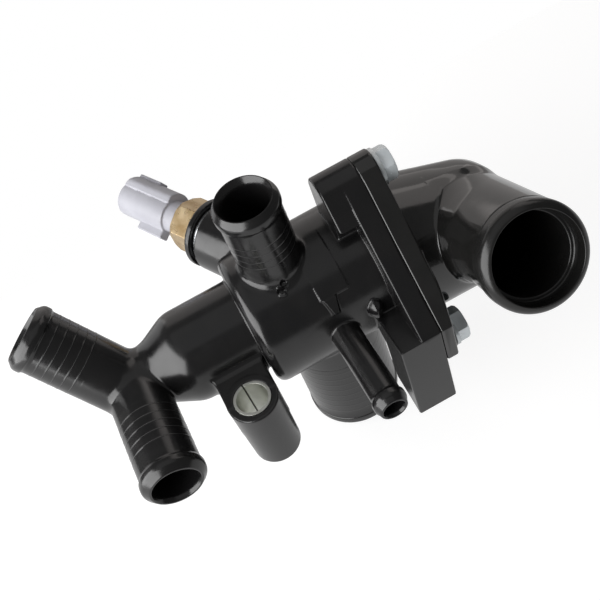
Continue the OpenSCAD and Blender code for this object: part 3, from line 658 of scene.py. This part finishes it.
def sample(field, low, high, cell):
    """Field values on a grid, worked out finely only in blocks that the surface may cross."""
    side = 6
    reach = cell * side * 1.2
    batch = 1500
    counts = np.ceil((high - low) / (cell * side)).astype(int)
    axes = [low[i] + cell * (side * np.arange(counts[i]) + (side - 1) / 2) for i in range(3)]
    centres = np.stack(np.meshgrid(*axes, indexing="ij"), axis=-1).reshape(-1, 3)
    rough = field(centres).reshape(counts)
    values = rough.repeat(side, 0).repeat(side, 1).repeat(side, 2).astype(np.float32)
    near = np.argwhere(np.abs(rough) < reach)
    inner = np.stack(np.meshgrid(*[np.arange(side)] * 3, indexing="ij"), axis=-1).reshape(-1, 3)
    for part in np.array_split(near, max(1, len(near) // batch)):
        index = (part[:, None, :] * side + inner).reshape(-1, 3)
        values[tuple(index.T)] = field(low + cell * index)
    return values


def surface_net(field, low, high, cell):
    """Vertices and quads of the surface where the field is zero."""
    values = sample(field, low, high, cell)
    inside = values < 0
    size = np.array(inside.shape) - 1
    corners = [np.array((i, j, k)) for i in (0, 1) for j in (0, 1) for k in (0, 1)]
    count = np.zeros(size, np.uint8)
    for c in corners:
        count += inside[c[0]:c[0] + size[0], c[1]:c[1] + size[1], c[2]:c[2] + size[2]]
    active = (count > 0) & (count < 8)
    cells = np.argwhere(active)
    number = np.full(size, -1, np.int64)
    number[active] = np.arange(len(cells))
    place = np.zeros((len(cells), 3))
    hits = np.zeros(len(cells))
    for c in corners:
        for axis in range(3):
            if c[axis] == 0:
                e = np.eye(3, dtype=int)[axis]
                a = values[tuple((cells + c).T)]
                b = values[tuple((cells + c + e).T)]
                crosses = (a < 0) != (b < 0)
                t = np.where(crosses, a / np.where(crosses, a - b, 1.0), 0.0)
                place += crosses[:, None] * (c + t[:, None] * e)
                hits += crosses
    vertices = low + cell * (cells + place / hits[:, None])
    quads = []
    for axis in range(3):
        e, u, v = np.roll(np.eye(3, dtype=int), -axis, axis=0)
        here = inside[:size[0], :size[1], :size[2]]
        there = inside[e[0]:e[0] + size[0], e[1]:e[1] + size[1], e[2]:e[2] + size[2]]
        edges = np.argwhere(here != there)
        edges = edges[(edges @ u > 0) & (edges @ v > 0)]
        around = np.stack([number[tuple((edges - o).T)] for o in (0 * u, u, u + v, v)], axis=1)
        leaves = here[tuple(edges.T)]
        quads.append(np.where(leaves[:, None], around, around[:, ::-1]))
    return vertices, np.concatenate(quads)


def settle(field, p, rounds, reach):
    """Moves points on to the zero level of a field."""
    least = 0.2
    for _ in range(rounds):
        slope = slope_of(field, p)
        move = (field(p) / np.maximum((slope * slope).sum(1), least))[:, None] * slope
        p = p - np.clip(move, -reach, reach)
    return p


def place_points(p):
    """Points in millimetres, moved to the shared frame in metres."""
    return (p + SHIFT) * MM


def add_object(name, data):
    obj = bpy.data.objects.new(name, data)
    bpy.context.scene.collection.objects.link(obj)
    return obj


def moulded(name, field, low, high):
    """Mesh object of a distance field, thinned to the share that is kept, with the field's own normals."""
    vertices, quads = surface_net(field, np.array(low), np.array(high), CELL)
    vertices = settle(field, vertices, 2, CELL / 2)
    mesh = bpy.data.meshes.new(name)
    mesh.vertices.add(len(vertices))
    mesh.vertices.foreach_set("co", vertices.astype(np.float32).ravel())
    mesh.loops.add(4 * len(quads))
    mesh.loops.foreach_set("vertex_index", quads.astype(np.int32).ravel())
    mesh.polygons.add(len(quads))
    mesh.polygons.foreach_set("loop_start", np.arange(0, 4 * len(quads), 4, dtype=np.int32))
    mesh.update(calc_edges=True)
    obj = add_object(name, mesh)
    if KEEP < 1.0:
        thinner = obj.modifiers.new("thinner", "DECIMATE")
        thinner.ratio = KEEP
        bake(obj)
    finish_normals(obj, field)
    return obj


def bake(obj):
    """Applies an object's modifiers to its mesh."""
    evaluated = obj.evaluated_get(bpy.context.evaluated_depsgraph_get())
    mesh = bpy.data.meshes.new_from_object(evaluated)
    obj.modifiers.clear()
    obj.data = mesh


def finish_normals(obj, field):
    """Settles a mesh on the field again, moves it to the shared frame and sets the field's normals."""
    mesh = obj.data
    points = np.zeros(3 * len(mesh.vertices), np.float32)
    mesh.vertices.foreach_get("co", points)
    points = settle(field, points.reshape(-1, 3).astype(float), 1, CELL / 2)
    slope = slope_of(field, points)
    normals = slope / np.linalg.norm(slope, axis=1)[:, None]
    mesh.vertices.foreach_set("co", place_points(points).astype(np.float32).ravel())
    mesh.polygons.foreach_set("use_smooth", np.ones(len(mesh.polygons), bool))
    mesh.update()
    mesh.normals_split_custom_set_from_vertices([tuple(n) for n in normals])


# Turned and coiled pieces
TURN_STEPS = 128
TURNED_SHARP = 32
COIL_SHARP = 60
BEAD_LEN = 4.8
BEAD_H = 0.6
BEAD_FOOT_R = 0.8
BEAD_NOSE_R = 2.4
BEAD_NOSE_X = 3.0
RIM_ROUND = 0.5
MOUTH_ROUND = 0.3
MOUTH_FROM = 0.4
MOUTH_STEPS = 6
SKIN = 0.02
OVERLAP = 0.5
RING_H = 0.06
RING_FOOT = 0.3
RING_TOP = 0.08
RING_GAP = 0.05


def smooth_mesh(name, points, faces, sharp):
    """Mesh object of points in millimetres, smooth but for edges sharper than an angle in degrees."""
    mesh = bpy.data.meshes.new(name)
    mesh.from_pydata(place_points(points).tolist(), [], faces)
    mesh.polygons.foreach_set("use_smooth", np.ones(len(faces), bool))
    mesh.update()
    mesh.set_sharp_from_angle(angle=math.radians(sharp))
    return add_object(name, mesh)


def turned(name, profile, root, way):
    """Closed half section of radius and station, turned about the axis from root along way."""
    u = np.cross(way, Z if abs(way[2]) < 0.9 else X)
    u = u / np.linalg.norm(u)
    v = np.cross(way, u)
    angles = np.linspace(0.0, 2 * math.pi, TURN_STEPS, endpoint=False)
    spokes = np.outer(np.cos(angles), u) + np.outer(np.sin(angles), v)
    r = np.array([q[0] for q in profile])
    s = np.array([q[1] for q in profile])
    points = root + r[None, :, None] * spokes[:, None, :] + s[None, :, None] * way
    count = len(profile)
    faces = []
    for i in range(TURN_STEPS):
        here = i * count
        there = (i + 1) % TURN_STEPS * count
        for k in range(count):
            beside = (k + 1) % count
            faces.append((here + k, there + k, there + beside, here + beside))
    return smooth_mesh(name, points.reshape(-1, 3), faces, TURNED_SHARP)


def arc(centre, r, start, end, steps):
    """Points of a round corner in a half section, angles in degrees from the radius direction."""
    angles = np.radians(np.linspace(start, end, steps))
    return [(centre[0] + r * math.cos(a), centre[1] + r * math.sin(a)) for a in angles]


def ridges(r, stations, height, foot):
    """Part of a half section with a thin flat-topped ridge at each station."""
    flat = foot + RING_GAP
    profile = []
    for s in stations:
        profile += [(r, s - flat), (r, s - foot), (r + height, s - RING_TOP)]
        profile += [(r + height, s + RING_TOP), (r, s + foot), (r, s + flat)]
    return profile


def hose_end(r, bore, length, free, inset, flare, depth, rings):
    """Half section of a hose end: ringed tube, bead with a sloping nose, rim, flared mouth and bore."""
    start = free - OVERLAP
    skin = r + SKIN
    foot = length - BEAD_LEN
    top = r + BEAD_H
    rim = r - inset
    mouth = bore + flare
    profile = [(skin, start)] + ridges(skin, rings, RING_H, RING_FOOT)
    profile += [(skin, foot - 1.0), (skin, foot - 0.9), (r + 0.12 * BEAD_H, foot - 0.4)]
    profile += arc((top - BEAD_FOOT_R, foot + BEAD_FOOT_R), BEAD_FOOT_R, -55, 0, 6)
    profile += arc((top - BEAD_NOSE_R, length - BEAD_NOSE_X), BEAD_NOSE_R, 0, 40, 7)
    profile += arc((rim - RIM_ROUND, length - RIM_ROUND), RIM_ROUND, 35, 90, 5)
    profile += arc((mouth + MOUTH_ROUND, length - MOUTH_ROUND), MOUTH_ROUND, 90, 150, 4)
    for i in range(1, MOUTH_STEPS + 1):
        wide = flare * (1 - i / MOUTH_STEPS) ** 2
        profile += [(bore + wide, length - MOUTH_FROM - (depth - MOUTH_FROM) * i / MOUTH_STEPS)]
    profile += [(bore, start)]
    return profile


# Materials
def links_of(material):
    material.use_nodes = True
    tree = material.node_tree
    shader = tree.nodes["Principled BSDF"]
    return tree, shader


def mottled(tree, scale, detail, low, high, colour_low, colour_high):
    """Colour that drifts between two tones by a noise pattern in the object's own space."""
    where = tree.nodes.new("ShaderNodeTexCoord")
    noise = tree.nodes.new("ShaderNodeTexNoise")
    noise.inputs["Scale"].default_value = scale
    noise.inputs["Detail"].default_value = detail
    ramp = tree.nodes.new("ShaderNodeValToRGB")
    ramp.color_ramp.elements[0].position = low
    ramp.color_ramp.elements[0].color = (*colour_low, 1)
    ramp.color_ramp.elements[1].position = high
    ramp.color_ramp.elements[1].color = (*colour_high, 1)
    tree.links.new(where.outputs["Object"], noise.inputs["Vector"])
    tree.links.new(noise.outputs["Fac"], ramp.inputs["Fac"])
    return ramp


def grain(tree, shader, scale, strength, distance):
    """Fine bump from a noise pattern."""
    where = tree.nodes.new("ShaderNodeTexCoord")
    noise = tree.nodes.new("ShaderNodeTexNoise")
    noise.inputs["Scale"].default_value = scale
    noise.inputs["Detail"].default_value = 3
    bump = tree.nodes.new("ShaderNodeBump")
    bump.inputs["Strength"].default_value = strength
    bump.inputs["Distance"].default_value = distance
    tree.links.new(where.outputs["Object"], noise.inputs["Vector"])
    tree.links.new(noise.outputs["Fac"], bump.inputs["Height"])
    tree.links.new(bump.outputs["Normal"], shader.inputs["Normal"])
    return bump


def soft_edges(tree, bump, radius):
    """Rounds the look of a solid's edges."""
    bevel = tree.nodes.new("ShaderNodeBevel")
    bevel.samples = 6
    bevel.inputs["Radius"].default_value = radius
    tree.links.new(bevel.outputs["Normal"], bump.inputs["Normal"])


GRAIN_DEPTH = 0.00006
FINE_GRAIN_DEPTH = 0.00005


def finish_of(name, dark, light, rough, metal=0.0, patches=180, fine=1400, bumps=0.1, depth=GRAIN_DEPTH,
              edge=0.0, specular=0.5):
    """Procedural material: two close tones in patches, uneven gloss and a fine surface grain."""
    material = bpy.data.materials.new(name)
    tree, shader = links_of(material)
    tone = mottled(tree, patches, 4, 0.3, 0.7, dark, light)
    tree.links.new(tone.outputs["Color"], shader.inputs["Base Color"])
    gloss = mottled(tree, patches * 2.3, 3, 0.3, 0.7, (rough[0],) * 3, (rough[1],) * 3)
    tree.links.new(gloss.outputs["Color"], shader.inputs["Roughness"])
    shader.inputs["Metallic"].default_value = metal
    shader.inputs["Specular IOR Level"].default_value = specular
    bump = grain(tree, shader, fine, bumps, depth)
    if edge > 0.0:
        soft_edges(tree, bump, edge)
    return material


housing_black = finish_of("housing_black", (0.0075, 0.0075, 0.008), (0.011, 0.0105, 0.0105), (0.17, 0.25),
                          patches=120, fine=1800, bumps=0.05, specular=0.62)
# Lighter grey for the ridges' flat tops: a painted highlight along each ring's crest
ridge_highlight_grey = finish_of("ridge_highlight_grey", (0.03, 0.03, 0.03), (0.07, 0.07, 0.07), (0.4, 0.5),
                       patches=900, fine=1800)
cover_black = finish_of("cover_black", (0.010, 0.010, 0.0095), (0.014, 0.0135, 0.013), (0.08, 0.12),
                        patches=160, fine=2600, bumps=0.03, specular=0.8)
bead_black = finish_of("bead_black", (0.009, 0.009, 0.0088), (0.012, 0.0115, 0.011), (0.20, 0.28),
                       patches=160, fine=2600, bumps=0.05)
bolt_zinc = finish_of("bolt_zinc", (0.80, 0.86, 0.89), (0.92, 0.97, 1.0), (0.16, 0.28), metal=0.5,
                      patches=220, fine=1500, bumps=0.08, edge=0.00035)
washer_zinc = finish_of("washer_zinc", (0.62, 0.66, 0.68), (0.78, 0.81, 0.82), (0.25, 0.38), metal=0.7,
                        patches=220, fine=1500, bumps=0.08, edge=0.0002)
sleeve_zinc = finish_of("sleeve_zinc", (0.62, 0.63, 0.58), (0.78, 0.79, 0.74), (0.32, 0.45), metal=1.0,
                        fine=1200, edge=0.0002)
brass = finish_of("brass", (0.36, 0.24, 0.11), (0.64, 0.50, 0.31), (0.24, 0.38), metal=0.8,
                  patches=200, bumps=0.12, edge=0.0004)
plug_grey = finish_of("plug_grey", (0.49, 0.49, 0.54), (0.55, 0.55, 0.60), (0.36, 0.46),
                      patches=150, fine=2200, bumps=0.12, edge=0.0004)
clip_steel = finish_of("clip_steel", (0.72, 0.74, 0.76), (0.86, 0.88, 0.90), (0.18, 0.30), metal=1.0,
                       patches=200, fine=1500, bumps=0.06, depth=FINE_GRAIN_DEPTH, edge=0.0002)
rubber = finish_of("rubber", (0.012, 0.012, 0.012), (0.022, 0.022, 0.021), (0.6, 0.75),
                   patches=150, fine=2400, bumps=0.2)
pressed_steel = finish_of("pressed_steel", (0.46, 0.45, 0.40), (0.62, 0.60, 0.54), (0.3, 0.45), metal=1.0,
                          edge=0.0002)
copper = finish_of("copper", (0.52, 0.27, 0.13), (0.66, 0.38, 0.20), (0.3, 0.45), metal=1.0, edge=0.0003)
contact_tin = finish_of("contact_tin", (0.60, 0.58, 0.52), (0.74, 0.72, 0.66), (0.25, 0.4), metal=1.0,
                        bumps=0.08, depth=FINE_GRAIN_DEPTH)

node_finish = {
    "housing": housing_black, "outlet_cover": cover_black, "cover_bolts": bolt_zinc,
    "bolt_washers": washer_zinc, "threaded_inserts": brass, "mount_sleeve": sleeve_zinc,
    "sensor_body": brass, "sensor_connector": plug_grey, "sensor_terminals": contact_tin,
    "sensor_ring": rubber, "sensor_clip": clip_steel, "valve_plate": pressed_steel, "valve_seal": rubber,
    "valve_bridge": pressed_steel, "piston_pin": clip_steel, "valve_disc": pressed_steel,
    "wax_capsule": copper, "guide_cap": copper, "valve_cage": pressed_steel,
    "valve_spring": clip_steel, "jiggle_pin": clip_steel,
}


def paint(obj, *materials):
    obj.data.materials.clear()
    for material in materials:
        obj.data.materials.append(material)


for name, material in node_finish.items():
    paint(nodes[name], material)


# The mouldings with their fillets and rounded edges, each meshed between two corners of a box
def add_moulding(name, field, low, high, material, node):
    piece = moulded(name, field, low, high)
    paint(piece, material)
    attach(piece, "body")
    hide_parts(node)


add_moulding("housing_moulding", housing_field, (-81.0, -44.0, -42.0), (36.0, 52.0, 40.0), housing_black,
             "housing")
add_moulding("cover_moulding", cover_field, (32.0, -53.0, -36.0), (86.0, 42.0, 46.0), cover_black,
             "outlet_cover")
add_moulding("plug_moulding", plug_field, (-42.0, 44.0, -11.0), (-5.0, 90.0, 11.0), plug_grey,
             "sensor_connector")


# Hose ends with their fine rings, turned on the moulding's stubs
def ring_stations(first, pitch, count):
    return [first + pitch * i for i in range(count)]


def add_hose_end(name, root, way, profile, materials):
    """Turned hose end; the flat tops of its ridges take the second material, a lighter grey that is a painted
    highlight along the ridges.
    """
    piece = turned(name, profile, root, way)
    paint(piece, *materials)
    radii = [q[0] for q in profile]
    tops = [abs(a - radii[0] - RING_H) < 1e-6 and a == b for a, b in zip(radii, radii[1:] + radii[:1])]
    piece.data.polygons.foreach_set("material_index", np.tile(np.array(tops, np.int32), TURN_STEPS))
    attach(piece, "body")


# The ridge tops take the lighter grey of the painted highlight
ringed = (housing_black, ridge_highlight_grey)
upper_profile = hose_end(HOSE_R, HOSE_BORE, UPPER_LEN, UPPER_FREE, inset=0.7, flare=1.5, depth=3.4,
                         rings=ring_stations(29.3, 2.9, 4))
front_profile = hose_end(HOSE_R, HOSE_BORE, FRONT_LEN, FRONT_FREE, inset=1.1, flare=0.6, depth=2.0,
                         rings=ring_stations(17.0, 3.1, 5))
left_profile = hose_end(LEFT_R, LEFT_R - WALL, LEFT_LEN, LEFT_FREE, inset=1.1, flare=0.6, depth=2.0,
                        rings=ring_stations(17.0, 3.0, 5))
small_profile = hose_end(SMALL_R, SMALL_BORE, SMALL_LEN, SMALL_FREE, inset=0.25, flare=0.35, depth=1.4,
                         rings=[])
add_hose_end("upper_hose_end", CENTRE, Z, upper_profile, ringed)
add_hose_end("front_hose_end", FRONT_ROOT, -Y, front_profile, ringed)
add_hose_end("left_hose_end", LEFT_ROOT, LEFT_DIR, left_profile, ringed)
add_hose_end("small_hose_end", SMALL_ROOT, -Y, small_profile, ringed)

# The large lower hose end, with lower rings and a low bead
LOWER_RING_H = 0.045
LOWER_RING_FOOT = 0.4
LOWER_NECK = 4.8
LOWER_FOOT_R = 0.5
LOWER_NOSE_R = 2.0
LOWER_RIM_ROUND = 0.8
lower_bore = LOWER_R - WALL
lower_skin = LOWER_R + SKIN
lower_rings = ring_stations(29.0, 3.6, 8)
lower_profile = [(lower_skin, LOWER_FREE - OVERLAP)]
lower_profile += ridges(lower_skin, lower_rings, LOWER_RING_H, LOWER_RING_FOOT)
lower_profile += [(lower_skin, LOWER_LEN - LOWER_NECK)]
lower_profile += arc((LOWER_R - 0.1, LOWER_LEN - 3.9), LOWER_FOOT_R, -60, 0, 4)
lower_profile += arc((LOWER_R - 1.6, LOWER_LEN - LOWER_NOSE_R), LOWER_NOSE_R, 0, 80, 7)
lower_profile += arc((lower_bore + 1.2, LOWER_LEN - LOWER_RIM_ROUND), LOWER_RIM_ROUND, 90, 180, 5)
lower_profile += [(lower_bore, LOWER_LEN - 2.5), (lower_bore, LOWER_FREE - OVERLAP)]
add_hose_end("lower_hose_end", LOWER_ROOT, -Z, lower_profile, (housing_black,))

# The outlet's hose end: a bead with a round nose, and a wider mouth with a lip inside
OUTLET_NOSE_R = 3.2
OUTLET_FOOT_R = 0.5
OUTLET_LIP_R = 0.5
outlet_start = OUTLET_FREE - 1.0
outlet_skin = OUTLET_R - 0.1
bead_foot = OUTLET_LEN - 7.0
counterbore = OUTLET_BORE + 1.2
lip = OUTLET_LEN - 6.0
outlet_profile = [(outlet_skin, outlet_start), (outlet_skin, bead_foot - 0.1), (outlet_skin, bead_foot),
                  (OUTLET_R + 0.2, bead_foot + 0.4)]
outlet_profile += arc((BEAD_R - OUTLET_FOOT_R, bead_foot + 1.2), OUTLET_FOOT_R, -50, 0, 5)
outlet_profile += arc((BEAD_R - OUTLET_NOSE_R, OUTLET_LEN - OUTLET_NOSE_R), OUTLET_NOSE_R, 0, 78, 12)
outlet_profile += arc((counterbore + 0.45, OUTLET_LEN - MOUTH_ROUND), MOUTH_ROUND, 90, 180, 5)
outlet_profile += [(counterbore + 0.05, lip + 0.3), (counterbore - 0.2, lip)]
outlet_profile += arc((OUTLET_BORE + OUTLET_LIP_R, lip - OUTLET_LIP_R), OUTLET_LIP_R, 90, 180, 5)
outlet_profile += [(OUTLET_BORE, outlet_start)]
add_hose_end("outlet_hose_end", BEND, OUTLET_DIR, outlet_profile, (bead_black,))

# Main spring: a conical coil between the cage and the valve disc, built at one length, though the real spring
# shortens as the valve opens
WIRE_R = 0.8
SPRING_TURNS = 4
SPRING_FOOT_X = 13.25
SPRING_HEAD_X = 28.15
SPRING_FOOT_R = 8.3
SPRING_HEAD_R = 12.3
STEPS_A_TURN = 48
WIRE_SIDES = 16


def coil(name):
    """Round wire wound about the main axis from the foot to the head, closed at both ends."""
    steps = STEPS_A_TURN * SPRING_TURNS
    share = np.linspace(0.0, 1.0, steps + 1)[:, None]
    around = np.linspace(0.0, 2 * math.pi, WIRE_SIDES, endpoint=False)[None, :]
    angle = 2 * math.pi * SPRING_TURNS * share
    r = SPRING_FOOT_R + (SPRING_HEAD_R - SPRING_FOOT_R) * share + WIRE_R * np.cos(around)
    run = SPRING_HEAD_X - SPRING_FOOT_X - 2 * WIRE_R
    x = SPRING_FOOT_X + WIRE_R + run * share + WIRE_R * np.sin(around)
    points = np.stack([x, r * np.cos(angle), r * np.sin(angle)], axis=-1).reshape(-1, 3)
    faces = []
    for i in range(steps):
        here = i * WIRE_SIDES
        there = here + WIRE_SIDES
        for k in range(WIRE_SIDES):
            beside = (k + 1) % WIRE_SIDES
            faces.append((there + k, there + beside, here + beside, here + k))
    faces.append(tuple(range(WIRE_SIDES)))
    faces.append(tuple(steps * WIRE_SIDES + k for k in reversed(range(WIRE_SIDES))))
    return smooth_mesh(name, points, faces, COIL_SHARP)


spring = coil("spring_coil")
paint(spring, clip_steel)
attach(spring, "body")
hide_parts("valve_spring")
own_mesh(spring)

# Camera, recovered from the round features in the picture; lengths in metres, angles in degrees
CAMERA_PLACE = (0.00833, -0.15864, 0.25990)
CAMERA_AZIMUTH = -6.048
CAMERA_ELEVATION = 51.627
CAMERA_ROLL = 24.104
CAMERA_LENS = 56.1
CAMERA_SENSOR = 36.0


def outward(azimuth, elevation):
    """Direction from the object towards an azimuth, measured from the front, and an elevation."""
    a = math.radians(azimuth)
    e = math.radians(elevation)
    return Vector((math.sin(a) * math.cos(e), -math.cos(a) * math.cos(e), math.sin(e)))


camera = bpy.data.cameras.new("camera")
camera.lens = CAMERA_LENS
camera.sensor_width = CAMERA_SENSOR
camera_obj = add_object("camera", camera)
roll = math.radians(CAMERA_ROLL)
back = outward(CAMERA_AZIMUTH, CAMERA_ELEVATION)
level_right = (-back).cross(Vector((0, 0, 1))).normalized()
level_down = (-back).cross(level_right)
right = math.cos(roll) * level_right + math.sin(roll) * level_down
up = math.sin(roll) * level_right - math.cos(roll) * level_down
turn = Matrix((right, up, back)).transposed().to_4x4()
camera_obj.matrix_world = Matrix.Translation(CAMERA_PLACE) @ turn
bpy.context.scene.camera = camera_obj


# Shader nodes that the floor and the world share
def greater(tree, a, b):
    """Node that gives the greater of two values."""
    node = tree.nodes.new("ShaderNodeMath")
    node.operation = "MAXIMUM"
    tree.links.new(a, node.inputs[0])
    tree.links.new(b, node.inputs[1])
    return node


def scaled(tree, value, factor):
    """Node that gives a value times a factor."""
    node = tree.nodes.new("ShaderNodeMath")
    node.operation = "MULTIPLY"
    node.inputs[1].default_value = factor
    tree.links.new(value, node.inputs[0])
    return node


def mirrored_rays(tree, path):
    """One for rays seen in a reflection or through glass, else zero."""
    return greater(tree, path.outputs["Is Glossy Ray"], path.outputs["Is Transmission Ray"])


# Floor: pale to the camera, dimmer where it is mirrored
FLOOR_LIFT = 0.80
FLOOR_MIRRORED = 0.50
FLOOR_GREY = (0.35, 0.35, 0.35, 1)
FLOOR_ROUGH = 0.9
FLOOR_SIDE = 0.9
FLOOR_BACK = 0.16
FLOOR_GAP = 0.002
FLOOR_Z = cad_box[0][2] - FLOOR_GAP
floor_mesh = bpy.data.meshes.new("floor")
floor_corners = [(-FLOOR_SIDE, -FLOOR_SIDE), (FLOOR_SIDE, -FLOOR_SIDE), (FLOOR_SIDE, FLOOR_BACK),
                 (-FLOOR_SIDE, FLOOR_BACK)]
floor_mesh.from_pydata([(x, y, FLOOR_Z) for x, y in floor_corners], [], [(0, 1, 2, 3)])
floor = add_object("floor", floor_mesh)
floor_white = bpy.data.materials.new("floor_white")
tree, shader = links_of(floor_white)
shader.inputs["Base Color"].default_value = FLOOR_GREY
shader.inputs["Roughness"].default_value = FLOOR_ROUGH
shader.inputs["Specular IOR Level"].default_value = 0.0
path = tree.nodes.new("ShaderNodeLightPath")
mirrored = mirrored_rays(tree, path)
dimmed = scaled(tree, mirrored.outputs["Value"], FLOOR_MIRRORED)
shown = scaled(tree, path.outputs["Is Camera Ray"], FLOOR_LIFT)
lift = greater(tree, dimmed.outputs["Value"], shown.outputs["Value"])
shader.inputs["Emission Color"].default_value = (1, 1, 1, 1)
tree.links.new(lift.outputs["Value"], shader.inputs["Emission Strength"])
paint(floor, floor_white)

# World: white behind the object, dim where it only lights or is mirrored
WORLD_LIGHT = 0.10
WORLD_MIRRORED = 0.14
world = bpy.data.worlds.new("world")
bpy.context.scene.world = world
world.use_nodes = True
sky = world.node_tree
sky_path = sky.nodes.new("ShaderNodeLightPath")
reflected = mirrored_rays(sky, sky_path)
dim = sky.nodes.new("ShaderNodeMapRange")
dim.inputs["To Min"].default_value = WORLD_LIGHT
dim.inputs["To Max"].default_value = WORLD_MIRRORED
sky.links.new(reflected.outputs["Value"], dim.inputs["Value"])
strength = greater(sky, dim.outputs["Result"], sky_path.outputs["Is Camera Ray"])
sky.nodes["Background"].inputs["Color"].default_value = (1, 1, 1, 1)
sky.links.new(strength.outputs["Value"], sky.nodes["Background"].inputs["Strength"])

# Lamps
MIDDLE = Vector((0.03, 0.03, 0.01))
WHITE = (1.0, 1.0, 1.0)
WARM = (1.0, 0.94, 0.91)


def soft_box(name, azimuth, elevation, distance, width, height, brightness, colour=WHITE):
    """Soft box that faces the object, its place in degrees and metres, with its own surface's brightness."""
    data = bpy.data.lights.new(name, "AREA")
    data.shape = "RECTANGLE"
    data.size = width
    data.size_y = height
    data.color = colour
    data.energy = brightness * math.pi * width * height
    obj = add_object(name, data)
    away = outward(azimuth, elevation)
    turned_to = (-away).to_track_quat("-Z", "Y").to_matrix().to_4x4()
    obj.matrix_world = Matrix.Translation(MIDDLE + distance * away) @ turned_to
    obj.visible_camera = False


soft_box("left_box", -74, 22, 0.55, width=0.77, height=0.54, brightness=4.3)
soft_box("far_left_box", -146, 2, 0.60, width=0.36, height=0.42, brightness=0.75)
soft_box("back_box", 170, 21, 0.60, width=0.70, height=0.50, brightness=0.53, colour=WARM)
soft_box("high_back_box", 125, 45, 0.60, width=0.37, height=0.26, brightness=0.80, colour=WARM)
soft_box("low_back_box", 160, -17, 0.95, width=1.35, height=0.58, brightness=0.30, colour=WARM)
soft_box("gap_box", 132, 6, 0.60, width=0.20, height=0.26, brightness=0.50, colour=WARM)
soft_box("top_box", 0, 88, 0.70, width=0.8, height=0.8, brightness=0.22)

bpy.context.scene.view_settings.view_transform = "Standard"
